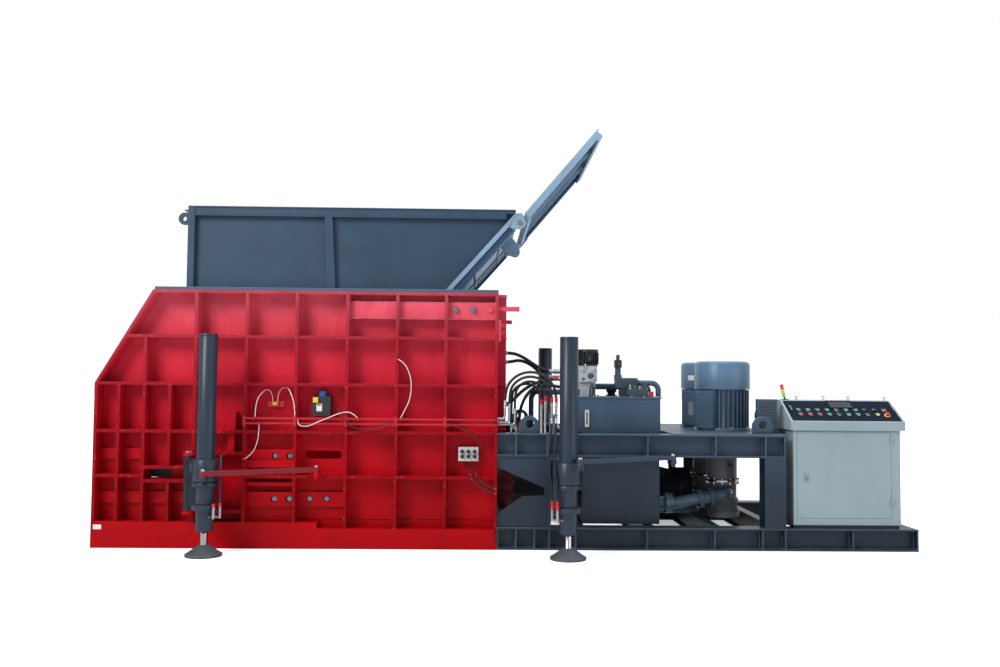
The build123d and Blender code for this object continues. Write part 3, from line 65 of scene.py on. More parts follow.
class Shader:
    """A principled material with small helpers for its node tree."""

    def __init__(self, name):
        self.material = bpy.data.materials.new(name)
        self.material.use_nodes = True
        self.tree = self.material.node_tree
        self.surface = self.tree.nodes["Principled BSDF"]
        self.place = self.tree.nodes.new("ShaderNodeTexCoord").outputs["Object"]

    def link(self, source, target):
        self.tree.links.new(source, target)

    def noise(self, scale, detail=4, rough=0.55, stretch=(1, 1, 1)):
        mapping = self.tree.nodes.new("ShaderNodeMapping")
        mapping.inputs["Scale"].default_value = stretch
        self.link(self.place, mapping.inputs["Vector"])
        node = self.tree.nodes.new("ShaderNodeTexNoise")
        node.inputs["Scale"].default_value = scale
        node.inputs["Detail"].default_value = detail
        node.inputs["Roughness"].default_value = rough
        self.link(mapping.outputs["Vector"], node.inputs["Vector"])
        return node.outputs["Fac"]

    def ramp(self, value, stops):
        node = self.tree.nodes.new("ShaderNodeValToRGB")
        ramp = node.color_ramp
        while len(ramp.elements) < len(stops):
            ramp.elements.new(0.5)
        for element, (at, colour) in zip(ramp.elements, stops):
            element.position = at
            element.color = (*colour, 1) if len(colour) == 3 else colour
        self.link(value, node.inputs["Fac"])
        return node.outputs["Color"]

    def mask(self, value, low, high):
        node = self.tree.nodes.new("ShaderNodeMapRange")
        node.inputs["From Min"].default_value = low
        node.inputs["From Max"].default_value = high
        self.link(value, node.inputs["Value"])
        return node.outputs["Result"]

    def mix(self, factor, first, second):
        node = self.tree.nodes.new("ShaderNodeMix")
        node.data_type = "RGBA"
        for name, value in (("Factor", factor), ("A", first), ("B", second)):
            socket = node.inputs[name]
            if isinstance(value, bpy.types.NodeSocket):
                self.link(value, socket)
            elif isinstance(value, (tuple, list)):
                socket.default_value = (*value, 1) if len(value) == 3 else value
            else:
                socket.default_value = value
        return node.outputs["Result"]

    def times(self, first, second):
        node = self.tree.nodes.new("ShaderNodeMath")
        node.operation = "MULTIPLY"
        for i, value in enumerate((first, second)):
            if isinstance(value, bpy.types.NodeSocket):
                self.link(value, node.inputs[i])
            else:
                node.inputs[i].default_value = value
        return node.outputs["Value"]

    def facing_up(self):
        """1 on surfaces that face up, 0 on the rest."""
        geometry = self.tree.nodes.new("ShaderNodeNewGeometry")
        split = self.tree.nodes.new("ShaderNodeSeparateXYZ")
        self.link(geometry.outputs["Normal"], split.inputs["Vector"])
        return self.mask(split.outputs["Z"], 0.75, 0.97)

    def height(self):
        split = self.tree.nodes.new("ShaderNodeSeparateXYZ")
        self.link(self.place, split.inputs["Vector"])
        return split.outputs["Z"]

    def band(self, low, high):
        """0 at one height and 1 at another, in metres above the floor."""
        return self.mask(self.height(), low, high)

    def colour(self, value):
        if isinstance(value, bpy.types.NodeSocket):
            self.link(value, self.surface.inputs["Base Color"])
        else:
            self.surface.inputs["Base Color"].default_value = (*value, 1)
        return self

    def rough(self, value, low=None, high=None):
        if low is None:
            self.surface.inputs["Roughness"].default_value = value
            return self
        node = self.tree.nodes.new("ShaderNodeMapRange")
        node.inputs["To Min"].default_value = low
        node.inputs["To Max"].default_value = high
        self.link(value, node.inputs["Value"])
        self.link(node.outputs["Result"], self.surface.inputs["Roughness"])
        return self

    def bump(self, value, strength, distance):
        node = self.tree.nodes.new("ShaderNodeBump")
        node.inputs["Strength"].default_value = strength
        node.inputs["Distance"].default_value = distance
        self.link(value, node.inputs["Height"])
        self.link(node.outputs["Normal"], self.surface.inputs["Normal"])
        return self

    def set(self, **values):
        for name, value in values.items():
            self.surface.inputs[name.replace("_", " ")].default_value = value
        return self


def shade(colour, k):
    """A colour made k times as bright."""
    return tuple(min(1, c * k) for c in colour)


def paint(name, colour, rough=(0.28, 0.5), dust=(0.32, 0.3, 0.28), dust_amount=0.5,
          orange_peel=0.12, blotch=0.16, light_by_height=None):
    """Sprayed paint: slight clouding, orange peel, and dust that lies on what faces up.

    The height ramp gives the colour from the floor to RISE_TOP metres up, lighter upwards as
    painted light.
    """
    s = Shader(name)
    clouds = s.noise(1.6, 5, 0.6)
    if light_by_height:
        body = s.ramp(s.band(0.0, RISE_TOP), light_by_height)
        body = s.mix(s.times(s.mask(clouds, 0.35, 0.8), 2 * blotch), body, colour)
    else:
        body = s.ramp(clouds, [(0.3, shade(colour, 1 - blotch)), (0.7, shade(colour, 1 + blotch))])
    streaks = s.mask(s.noise(5, 6, 0.65, (1, 1, 0.16)), 0.56, 0.78)
    body = s.mix(s.times(streaks, 0.22), body, shade(colour, 0.55))
    specks = s.mask(s.noise(60, 3, 0.7), 0.66, 0.74)
    body = s.mix(s.times(specks, 0.18), body, dust)
    settled = s.times(s.facing_up(), s.mask(s.noise(7, 5, 0.7), 0.3, 0.75))
    body = s.mix(s.times(settled, dust_amount), body, dust)
    s.colour(body)
    s.rough(s.noise(9, 5, 0.6), *rough)
    s.bump(s.noise(220, 2, 0.5), orange_peel, 0.0008)
    return s.set(Specular_IOR_Level=PAINT_SHEEN).material


def box_red(name, edge=False, painted_light_factor=1.0):
    """Red paint: deep below, lighter towards the top as painted light, with runs, scuffs and chips.
    """
    s = Shader(name)
    body = s.ramp(s.band(*RED_SPAN), [(at, shade(red, painted_light_factor)) for at, red in RED_LIGHT_BY_HEIGHT])
    clouds = s.noise(1.7, 5, 0.6)
    body = s.mix(s.times(s.mask(clouds, 0.42, 0.75), 0.45), body, (0.20, 0.0012, 0.006))
    streaks = s.mask(s.noise(5, 6, 0.65, (1, 1, 0.14)), 0.54, 0.78)
    body = s.mix(s.times(streaks, 0.4), body, (0.11, 0.002, 0.004))
    specks = s.mask(s.noise(55, 3, 0.7), 0.67, 0.75)
    body = s.mix(s.times(specks, 0.25), body, (0.30, 0.12, 0.10))
    grime = s.mask(s.noise(2.6, 6, 0.7), 0.60, 0.85)
    body = s.mix(s.times(grime, 0.3), body, (0.05, 0.012, 0.012))
    # The edge version's lighter rubbed patches are partly wear and partly a painted edge highlight
    if edge:
        rub = s.mask(s.noise(26, 5, 0.7), 0.58, 0.75)
        body = s.mix(s.times(rub, 0.5), body, (0.55, 0.16, 0.16))
    s.colour(body)
    s.rough(s.noise(9, 5, 0.6), 0.3, 0.55)
    s.bump(s.noise(200, 2, 0.5), 0.06, 0.001)
    return s.set(Specular_IOR_Level=RED_SHEEN).material


def edge_highlight_and_wear(name, colour, bare, amount=0.5):
    """Rounded plate edges: lighter than the plate as a painted highlight, rubbed bare where the
    coat is thin.
    """
    s = Shader(name)
    rub = s.mask(s.noise(26, 5, 0.7), 0.62 - 0.2 * amount, 0.75)
    s.colour(s.mix(s.times(rub, amount), shade(colour, 1.25), bare))
    s.rough(s.noise(40, 3), 0.25, 0.5)
    s.set(Specular_IOR_Level=0.25)
    return s.bump(s.noise(120, 3), 0.1, 0.002).material


def metal(name, colour, rough=(0.25, 0.45), brushed=(1, 1, 1), grime_amount=0.3):
    """Bare metal with a directional grain and grime in patches."""
    s = Shader(name)
    grain = s.noise(30, 5, 0.65, brushed)
    body = s.ramp(grain, [(0.3, shade(colour, 0.8)), (0.7, shade(colour, 1.15))])
    patches = s.mask(s.noise(4, 5, 0.65), 0.5, 0.75)
    s.colour(s.mix(s.times(patches, grime_amount), body, GRIME))
    s.rough(grain, *rough)
    return s.bump(grain, 0.06, 0.001).set(Metallic=1.0).material


def plastic(name, colour, rough=(0.3, 0.45), grain=0.1, dust_amount=0.2, sheen=0.3):
    """Moulded plastic with a fine grain and a little dust."""
    s = Shader(name)
    body = s.ramp(s.noise(12, 3), [(0.35, shade(colour, 0.92)), (0.65, shade(colour, 1.08))])
    s.colour(s.mix(s.times(s.facing_up(), dust_amount), body, (0.3, 0.29, 0.27)))
    s.rough(s.noise(25, 4), *rough)
    return s.bump(s.noise(400, 2), grain, 0.0006).set(Specular_IOR_Level=sheen).material


def rubber(name):
    """Hose cover with a fine wrapped texture and scuffs."""
    s = Shader(name)
    scuffs = s.mask(s.noise(14, 6, 0.7), 0.56, 0.75)
    s.colour(s.mix(s.times(scuffs, 0.3), (0.008, 0.010, 0.015), (0.04, 0.043, 0.05)))
    s.rough(s.noise(18, 4), 0.38, 0.6)
    return s.bump(s.noise(260, 2), 0.25, 0.0012).set(Specular_IOR_Level=0.2).material


def glow(name, colour, strength):
    """Coloured lens of a lamp that is lit faintly."""
    s = Shader(name)
    s.colour(s.ramp(s.noise(40, 2), [(0.3, shade(colour, 0.85)), (0.7, colour)]))
    s.rough(s.noise(30, 2), 0.12, 0.25)
    return s.set(Emission_Color=(*colour, 1), Emission_Strength=strength).material


# How strongly the paints mirror, kept low because the photograph shows them dull
PAINT_SHEEN = 0.22
RED_SHEEN = 0.08
GRIME = (0.05, 0.04, 0.035)

# Colours that change with the height above the floor: lighter upwards, painted light that stands
# for the stronger light from above. Each stop is a share of the span, which is RED_SPAN for the red
# and from 0 to RISE_TOP for the others, in metres
RED_SPAN = (0.15, 2.6)
RED_LIGHT_BY_HEIGHT = [(0.0, (0.33, 0.0006, 0.003)), (0.22, (0.43, 0.0008, 0.006)),
            (0.5, (0.47, 0.006, 0.020)), (0.75, (0.56, 0.028, 0.052)), (1.0, (0.68, 0.11, 0.155))]
RISE_TOP = 2.0
SLATE_LIGHT_BY_HEIGHT = [(0.0, (0.010, 0.017, 0.028)), (0.3, (0.011, 0.019, 0.032)),
              (0.53, (0.025, 0.044, 0.072)), (0.70, (0.040, 0.072, 0.115)),
              (1.0, (0.048, 0.088, 0.140))]
MOTOR_LIGHT_BY_HEIGHT = [(0.0, (0.05, 0.075, 0.10)), (0.55, (0.06, 0.095, 0.13)), (0.7, (0.05, 0.085, 0.13)),
              (0.78, (0.055, 0.095, 0.15)), (0.9, (0.088, 0.16, 0.25)), (1.0, (0.09, 0.16, 0.25))]

SLATE = (0.022, 0.038, 0.060)
CREAM = (0.245, 0.303, 0.325)

# The red grows lighter upwards: painted light from above
red_paint = box_red("red_paint")
red_edge = box_red("red_edge", edge=True)
# A darker copy of the red for the fronts of the ribs: painted shade, so they look no more lit than
# the cells
shaded_rib_red = box_red("shaded_rib_red", edge=True, painted_light_factor=0.5)
red_pipe = paint("red_pipe", (0.38, 0.012, 0.02), (0.25, 0.4), (0.25, 0.1, 0.1), 0.3)
dark_red = paint("dark_red", (0.15, 0.006, 0.011), (0.3, 0.5), (0.2, 0.12, 0.1), 0.5)
dark_red_edge = edge_highlight_and_wear("dark_red_edge", (0.2, 0.012, 0.018), (0.3, 0.2, 0.18), 0.4)
near_black = paint("near_black", (0.010, 0.012, 0.016), (0.4, 0.6), (0.03, 0.03, 0.035), 0.4)
# The slate paint grows lighter upwards: painted light from above
slate_paint = paint("slate_paint", SLATE, (0.3, 0.5), (0.10, 0.12, 0.14), 0.5, light_by_height=SLATE_LIGHT_BY_HEIGHT)
leg_paint = paint("leg_paint", (0.015, 0.025, 0.040), (0.22, 0.4), (0.10, 0.12, 0.14), 0.4)
slate_edge = edge_highlight_and_wear("slate_edge", (0.055, 0.085, 0.12), (0.2, 0.24, 0.28), 0.4)
hopper_paint = paint("hopper_paint", (0.024, 0.047, 0.080), (0.32, 0.52), (0.12, 0.15, 0.18), 0.45)
# The pale blue-grey of the flap and chute is partly their paint and partly a painted highlight of
# haze and reflection
flap_paint = paint("flap_paint", (0.18, 0.27, 0.37), (0.4, 0.6), (0.2, 0.27, 0.33), 0.3, 0.01)
flap_edge = edge_highlight_and_wear("flap_edge", (0.22, 0.32, 0.43), (0.42, 0.5, 0.56), 0.4)
# Paint of the band below the hopper's side flange: painted shade of the flange over it
shaded_band_paint = paint("shaded_band_paint", (0.022, 0.045, 0.10), (0.3, 0.5), (0.1, 0.12, 0.15), 0.3)
# The motor paint grows lighter towards the top: painted light from above
motor_paint = paint("motor_paint", (0.05, 0.085, 0.13), (0.25, 0.42), (0.14, 0.17, 0.2), 0.45,
                    0.08, light_by_height=MOTOR_LIGHT_BY_HEIGHT)
motor_edge = edge_highlight_and_wear("motor_edge", (0.11, 0.175, 0.25), (0.3, 0.36, 0.42), 0.5)
suction_paint = paint("suction_paint", (0.075, 0.115, 0.16), (0.2, 0.35), (0.14, 0.17, 0.2), 0.4)
pump_iron = paint("pump_iron", (0.17, 0.17, 0.18), (0.35, 0.55), (0.2, 0.17, 0.14), 0.4, 0.3, 0.3)
cream_paint = paint("cream_paint", CREAM, (0.42, 0.6), (0.4, 0.39, 0.36), 0.4, 0.3, 0.04)
cream_edge = edge_highlight_and_wear("cream_edge", (0.6, 0.64, 0.64), (0.7, 0.72, 0.72), 0.2)
black_paint = plastic("black_paint", (0.005, 0.010, 0.020), (0.6, 0.75), 0.05, 0.03, 0.02)
black_edge = edge_highlight_and_wear("black_edge", (0.02, 0.025, 0.035), (0.2, 0.2, 0.2), 0.3)
blade_steel = metal("blade_steel", (0.42, 0.42, 0.43), (0.2, 0.4), (1, 1, 12))
bright_steel = metal("bright_steel", (0.36, 0.37, 0.39), (0.16, 0.32), (1, 1, 6), grime_amount=0.15)
zinc_steel = metal("zinc_steel", (0.27, 0.28, 0.29), (0.25, 0.42), grime_amount=0.35)
chrome_rod = metal("chrome_rod", (0.36, 0.37, 0.40), (0.05, 0.14), (1, 1, 20), grime_amount=0.12)
dark_steel = metal("dark_steel", (0.16, 0.17, 0.18), (0.3, 0.5), grime_amount=0.4)
cast_iron = paint("cast_iron", (0.052, 0.062, 0.075), (0.42, 0.62), (0.12, 0.12, 0.12), 0.5, 0.45)
valve_iron = paint("valve_iron", (0.038, 0.055, 0.075), (0.3, 0.5), (0.12, 0.12, 0.12), 0.4,
                   0.35, 0.3)
manifold_grey = paint("manifold_grey", (0.33, 0.36, 0.39), (0.3, 0.5), (0.3, 0.31, 0.32), 0.3,
                      0.2, 0.1)
black_plastic = plastic("black_plastic", (0.014, 0.015, 0.018))
blue_plastic = plastic("blue_plastic", (0.015, 0.10, 0.32))
yellow_plastic = plastic("yellow_plastic", (0.72, 0.42, 0.02))
plate_grey = plastic("plate_grey", (0.16, 0.18, 0.19), (0.3, 0.4))
white_plastic = plastic("white_plastic", (0.62, 0.62, 0.60))
teal_plastic = plastic("teal_plastic", (0.01, 0.30, 0.30))
red_plastic = plastic("red_plastic", (0.50, 0.008, 0.012), (0.2, 0.3))
green_plastic = plastic("green_plastic", (0.004, 0.26, 0.13), (0.2, 0.3))
box_plastic = plastic("box_plastic", (0.48, 0.48, 0.46), (0.4, 0.55))
hose_rubber = rubber("hose_rubber")
grease_line = plastic("grease_line", (0.66, 0.64, 0.62), (0.35, 0.5))
lamp_red = glow("lamp_red", (0.65, 0.02, 0.02), 0.25)
lamp_amber = glow("lamp_amber", (0.85, 0.30, 0.02), 0.35)
lamp_green = glow("lamp_green", (0.03, 0.62, 0.12), 0.3)
glass_black = plastic("glass_black", (0.01, 0.014, 0.02), (0.05, 0.12), 0.0, 0.05)
screen_lines = plastic("screen_lines", (0.035, 0.05, 0.065), (0.2, 0.3), 0.0)
bar_edge = edge_highlight_and_wear("bar_edge", (0.42, 0.10, 0.12), (0.66, 0.55, 0.53), 0.9)

# Places that several sections share, in metres
SIDES = (("near", -1), ("far", 1))
BAR_BOLT_X = (-0.547, -0.376)
BAR_BOLT_Z = 2.384
BLADE_BOLT_X = (-2.341, -2.193)
BLADE_BOLT_Z = (0.902, 0.474)
SEAT_BOLT_X = (-1.996, -1.824)
SEAT_BOLT_Z = 0.474
LEG_AT = {"left": (-2.890, 1.5427), "right": (0.547, 1.6222)}
BRACE_BOLT_AT = {"left": (-2.866, 1.7027), "right": (0.645, 1.7472)}
BRACE_TOP = {"left": 0.8065, "right": 0.9435}
MOTOR_X = 2.338
MOTOR_Y = 0.35
# Foot of the desk's sloping panel (Y, Z) and the way up along it (Y, Z)
PANEL_FOOT = (-1.125, 1.292)
PANEL_UP = (0.8688, 0.4951)
LAMP_HEIGHT = 0.036

# Which material each node of the frame wears, with the material of its rounded edges
DRESS = {
    "near_side_wall": (red_paint, red_edge), "far_side_wall": (red_paint, red_edge),
    "front_end_frame": (red_paint, red_edge), "rear_end_plate": (red_paint, red_edge),
    "box_floor": (dark_red, dark_red_edge), "blade_frame": (dark_red, dark_red_edge),
    "ram_carriage": (dark_red, dark_red_edge), "main_cylinder": (near_black, slate_edge),
    "top_deck_plate": (slate_paint, slate_edge), "hopper_near_side": (hopper_paint, slate_edge),
    "hopper_far_side": (hopper_paint, slate_edge), "hopper_end_wall": (hopper_paint, slate_edge),
    "hopper_chute": (flap_paint, flap_edge), "hopper_flap": (flap_paint, flap_edge),
    "base_frame": (slate_paint, slate_edge), "deck_frame": (slate_paint, slate_edge),
    "frame_posts": (slate_paint, slate_edge), "oil_tank": (slate_paint, slate_edge),
    "fixed_blades": (blade_steel, bright_steel), "moving_blades": (blade_steel, bright_steel),
    "piston_rod": (chrome_rod, None), "hinge_pins": (dark_steel, bright_steel),
    "tank_fittings": (black_plastic, None), "valve_block": (valve_iron, dark_steel),
    "pressure_pipes": (zinc_steel, None), "drive_motors": (motor_paint, motor_edge),
    "motor_cowls": (motor_paint, slate_edge), "motor_fan_near": (black_plastic, None),
    "motor_fan_far": (black_plastic, None), "pump_sets": (pump_iron, dark_steel),
    "suction_pipes": (suction_paint, motor_edge), "oil_cooler": (slate_paint, slate_edge),
    "cooler_fan": (black_plastic, None), "console_cabinet": (cream_paint, cream_edge),
    "console_door": (cream_paint, cream_edge), "console_panel": (black_paint, black_edge),
    "selector_left": (black_plastic, None), "selector_right": (black_plastic, None),
    "emergency_stop": (red_plastic, None), "tower_light": (black_plastic, None),
    "junction_box": (box_plastic, None), "grease_pump": (black_plastic, None),
    "hydraulic_hoses": (hose_rubber, None), "thin_cables": (grease_line, None),
}
for name, _ in SIDES:
    for end in LEG_AT:
        DRESS[f"leg_arm_{end}_{name}"] = (leg_paint, slate_edge)
        DRESS[f"leg_barrel_{end}_{name}"] = (leg_paint, slate_edge)
        DRESS[f"leg_foot_{end}_{name}"] = (cast_iron, dark_steel)
    DRESS[f"leg_brace_left_{name}"] = (dark_red, dark_red_edge)
    DRESS[f"leg_brace_right_{name}"] = (slate_paint, slate_edge)

# Width of the rounded edges, where it isn't the usual one
USUAL_EDGE = 0.004
EDGE_WIDTH = {
    "console_cabinet": 0.003, "console_door": 0.002, "console_panel": 0.003,
    "valve_block": 0.002, "motor_cowls": 0.0015, "drive_motors": 0.0015, "oil_cooler": 0.0012,
    "pump_sets": 0.003, "hopper_flap": 0.0025, "hopper_chute": 0.0025,
}


def dress(node, body, edge):
    """Gives a node its materials and small rounded edges, mostly in a lighter paint as a painted
    highlight.
    """
    piece = nodes[node]
    piece.data.materials.clear()
    piece.data.materials.append(body)
    piece.data.materials.append(edge or body)
    for face in piece.data.polygons:
        face.material_index = 0
    weld = piece.modifiers.new("weld", "WELD")
    weld.merge_threshold = 0.00002
    if edge:
        bevel = piece.modifiers.new("bevel", "BEVEL")
        bevel.width = EDGE_WIDTH.get(node, USUAL_EDGE)
        bevel.segments = 1
        bevel.limit_method = "ANGLE"
        bevel.angle_limit = math.radians(50)
        bevel.material = 1
        bevel.use_clamp_overlap = True


for node, (body, edge) in DRESS.items():
    dress(node, body, edge)


def repaint(node, material, belongs):
    """Gives a material to the faces of a node whose centre passes a test."""
    mesh = nodes[node].data
    mesh.materials.append(material)
    slot = len(mesh.materials) - 1
    for face in mesh.polygons:
        if belongs(face.center, face.normal):
            face.material_index = slot


def off_axis(at, x, y):
    """Distance of a point from an upright axis."""
    return math.hypot(at.x - x, at.y - y)


def up_tower(at):
    """How far a point is up the leaning signal tower, from its foot."""
    return (at.z - 1.504) * 0.9744 - (at.x - 2.915) * 0.225


def off_panel(at):
    """How far a point stands out of the desk's sloping panel."""
    return (at.z - PANEL_FOOT[1]) * PANEL_UP[0] - (at.y - PANEL_FOOT[0]) * PANEL_UP[1]


def off_bolt(at, x, z):
    """Distance of a point on a side wall from the axis of a bolt through it."""
    return math.hypot(at.x - x, at.z - z)


# Faces that wear another material than the rest of their node, found by where they lie
repaint("main_cylinder", dark_red, lambda at, n: at.x < 0.1)
for x in BAR_BOLT_X:
    repaint("near_side_wall", dark_steel,
            lambda at, n: at.y < -1.0895 and off_bolt(at, x, BAR_BOLT_Z) < 0.031)
# The rib fronts get the darker copy of the red: painted shade
for name, side in SIDES:
    repaint(f"{name}_side_wall", shaded_rib_red,
            lambda at, n: 1.145 < side * at.y < 1.1515 and abs(n.y) > 0.9 and at.z > 0.27)
bolts = [(x, z) for z in BLADE_BOLT_Z for x in BLADE_BOLT_X]
bolts += [(x, SEAT_BOLT_Z) for x in SEAT_BOLT_X]
for x, z in bolts:
    for name, side in SIDES:
        repaint(f"{name}_side_wall", dark_steel,
                lambda at, n: side * at.y > 0.995 and off_bolt(at, x, z) < 0.0265)
repaint("pressure_pipes", red_pipe, lambda at, n: at.y < -1.1495 and at.x < -0.09 and at.z < 1.95)
repaint("pressure_pipes", red_pipe, lambda at, n: at.x < 0.0 and at.y > -0.8)
repaint("pressure_pipes", slate_paint, lambda at, n: at.y > -0.75 and at.x > 0.13 and at.z < 1.9)
repaint("pressure_pipes", bright_steel,
        lambda at, n: 0.47 < at.x < 0.73 and at.y < -0.55 and 1.68 < at.z < 1.81)
repaint("frame_posts", near_black, lambda at, n: 1.059 < at.y < 1.067 and at.z < 0.93)
repaint("tank_fittings", white_plastic, lambda at, n: at.y < -0.935 and at.x < 0.83)
repaint("grease_pump", blue_plastic, lambda at, n: at.z > 1.4995 and at.x > -2.0)
repaint("grease_pump", yellow_plastic, lambda at, n: at.y < -1.0755 and at.x > -2.0)
repaint("grease_pump", red_plastic, lambda at, n: at.x < -2.2)
repaint("console_cabinet", slate_paint, lambda at, n: at.z < 0.2525)
repaint("junction_box", black_plastic, lambda at, n: at.y < -1.0625)
repaint("valve_block", manifold_grey, lambda at, n: at.x < 0.93 and at.z < 1.8365)
repaint("valve_block", near_black, lambda at, n: at.x < 0.98 and at.z > 1.8365)
repaint("valve_block", black_plastic, lambda at, n: 1.1 < at.x < 1.2 and at.z > 1.82)
repaint("valve_block", red_plastic, lambda at, n: at.x > 1.4475)
# The front face of the hopper's side flange wears the pale flap paint: a painted highlight of haze
repaint("hopper_near_side", flap_paint,
        lambda at, n: at.y < -1.0495 and at.x > -0.7 and at.z < 3.379 and n.y < -0.9)
# The band under the flange gets its own paint: painted shade
repaint("hopper_near_side", shaded_band_paint, lambda at, n: -1.036 < at.y < -1.024 and at.x > -0.58)
repaint("pump_sets", bright_steel, lambda at, n: 0.614 < at.z < 0.641 and abs(n.z) < 0.5)
repaint("console_panel", bright_steel,
        lambda at, n: (at.x < 2.9 or at.x > 3.935) and off_panel(at) > 0.004)
for low, material in ((0.030, lamp_green), (0.071, lamp_amber), (0.112, lamp_red)):
    repaint("tower_light", material,
            lambda at, n: low - 0.001 < up_tower(at) < low + LAMP_HEIGHT)
for name, side in SIDES:
    for end, (x, y) in LEG_AT.items():
        repaint(f"leg_foot_{end}_{name}", chrome_rod, lambda at, n: at.z > 0.1055)
        repaint(f"leg_barrel_{end}_{name}", zinc_steel,
                lambda at, n: off_axis(at, x, side * y) > 0.0885 and 0.35 < at.z < 0.502)
        repaint(f"leg_barrel_{end}_{name}", red_plastic,
                lambda at, n: off_axis(at, x, side * y) > 0.1 and 0.472 < at.z < 0.502)
    # The hinge tubes of the left legs are painted near black: painted shade of the pockets they sit
    # in
    repaint(f"leg_arm_left_{name}", near_black,
            lambda at, n: off_axis(at, -3.148, side * 1.205) < 0.052)
    for end, (x, y) in BRACE_BOLT_AT.items():
        top = BRACE_TOP[end]
        repaint(f"leg_arm_{end}_{name}", bright_steel,
                lambda at, n: at.z > top and off_axis(at, x, side * y) < 0.023)
        repaint(f"leg_brace_{end}_{name}", bright_steel, lambda at, n: at.z > top)


# Floor and light

def larger(tree, first, second):
    """The larger of two values in a node tree."""
    node = tree.nodes.new("ShaderNodeMath")
    node.operation = "MAXIMUM"
    tree.links.new(first, node.inputs[0])
    tree.links.new(second, node.inputs[1])
    return node.outputs["Value"]


def stage():
    """A white floor that keeps the shadow, a white surround and soft lamps."""
    mesh = bpy.data.meshes.new("floor")
    mesh.from_pydata([(-60, -40, 0), (60, -40, 0), (60, 80, 0), (-60, 80, 0)], [], [(0, 1, 2, 3)])
    floor = bpy.data.objects.new("floor", mesh)
    s = Shader("floor_paint")
    greys = [(0.3, (0.80, 0.80, 0.81)), (0.7, (0.83, 0.83, 0.84))]
    s.colour(s.ramp(s.noise(0.8, 3), greys)).rough(0.9)
    s.set(Specular_IOR_Level=0.0)
    rays = s.tree.nodes.new("ShaderNodeLightPath")
    white = s.tree.nodes.new("ShaderNodeEmission")
    white.inputs["Color"].default_value = (1, 1, 1, 1)
    distance = s.tree.nodes.new("ShaderNodeVectorMath")
    distance.operation = "LENGTH"
    s.link(s.place, distance.inputs[0])
    strength = s.tree.nodes.new("ShaderNodeMapRange")
    strength.inputs["From Min"].default_value = 4.0
    strength.inputs["From Max"].default_value = 8.0
    strength.inputs["To Min"].default_value = 0.42
    strength.inputs["To Max"].default_value = 1.1
    s.link(distance.outputs["Value"], strength.inputs["Value"])
    seen = larger(s.tree, rays.outputs["Is Camera Ray"], rays.outputs["Is Glossy Ray"])
    s.link(s.times(strength.outputs["Result"], seen), white.inputs["Strength"])
    both = s.tree.nodes.new("ShaderNodeAddShader")
    s.link(s.surface.outputs["BSDF"], both.inputs[0])
    s.link(white.outputs["Emission"], both.inputs[1])
    s.link(both.outputs["Shader"], s.tree.nodes["Material Output"].inputs["Surface"])
    mesh.materials.append(s.material)
    bpy.context.scene.collection.objects.link(floor)

    world = bpy.data.worlds.new("studio")
    world.use_nodes = True
    tree = world.node_tree
    light = tree.nodes["Background"]
    light.inputs["Color"].default_value = (0.80, 0.90, 1.0, 1)
    light.inputs["Strength"].default_value = 0.55
    surround = tree.nodes.new("ShaderNodeBackground")
    surround.inputs["Color"].default_value = (1, 1, 1, 1)
    surround.inputs["Strength"].default_value = 1.0
    rays = tree.nodes.new("ShaderNodeLightPath")
    seen = larger(tree, rays.outputs["Is Camera Ray"], rays.outputs["Is Glossy Ray"])
    seen = larger(tree, seen, rays.outputs["Is Transmission Ray"])
    choice = tree.nodes.new("ShaderNodeMixShader")
    tree.links.new(seen, choice.inputs["Fac"])
    tree.links.new(light.outputs["Background"], choice.inputs[1])
    tree.links.new(surround.outputs["Background"], choice.inputs[2])
    tree.links.new(choice.outputs["Shader"], tree.nodes["World Output"].inputs["Surface"])
    bpy.context.scene.world = world

    for name, at, size, energy, colour in (
        ("key", (-8, -9, 9), 5, 1500, (1.0, 0.98, 0.95)),
        ("top", (1, 0, 11), 8, 1100, (0.93, 0.97, 1.0)),
        ("side", (9, -7, 4), 4, 180, (1.0, 1.0, 1.0)),
    ):
        lamp = bpy.data.objects.new(name, bpy.data.lights.new(name, "AREA"))
        lamp.data.size = size
        lamp.data.energy = energy
        lamp.data.color = colour
        lamp.location = at
        lamp.rotation_euler = (Vector((0, 0, 1.2)) - Vector(at)).to_track_quat("-Z", "Y").to_euler()
        bpy.context.scene.collection.objects.link(lamp)


stage()


# Mesh helpers for the added pieces

def piece(name, bm, material, body, slot, smooth=35, bevel=0.0):
    """Turns a bmesh into a piece that rides on a body."""
    mesh = bpy.data.meshes.new(name)
    bmesh.ops.recalc_face_normals(bm, faces=bm.faces)
    bm.to_mesh(mesh)
    bm.free()
    made = bpy.data.objects.new(name, mesh)
    bpy.context.scene.collection.objects.link(made)
    for one in material if isinstance(material, (list, tuple)) else [material]:
        mesh.materials.append(one)
    if bevel:
        rounded = made.modifiers.new("bevel", "BEVEL")
        rounded.width = bevel
        rounded.segments = 2
        rounded.limit_method = "ANGLE"
        rounded.angle_limit = math.radians(40)
    if smooth:
        mesh.shade_smooth()
        mesh.set_sharp_from_angle(angle=math.radians(smooth))
    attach(made, body)


def turn(bm, profile, place=Matrix.Identity(4), steps=24, material=0):
    """A surface turned about the Z axis of place, from a profile of (radius, height)."""
    rings = []
    for r, z in profile:
        if r < 1e-6:
            rings.append([bm.verts.new(place @ Vector((0, 0, z)))])
            continue
        ring = []
        for i in range(steps):
            a = 2 * math.pi * i / steps
            ring.append(bm.verts.new(place @ Vector((r * math.cos(a), r * math.sin(a), z))))
        rings.append(ring)
    for low, high in zip(rings, rings[1:]):
        for i in range(steps):
            j = (i + 1) % steps
            if len(low) == 1 and len(high) == 1:
                continue
            if len(low) == 1:
                face = bm.faces.new((low[0], high[j], high[i]))
            elif len(high) == 1:
                face = bm.faces.new((low[i], low[j], high[0]))
            else:
                face = bm.faces.new((low[i], low[j], high[j], high[i]))
            face.material_index = material


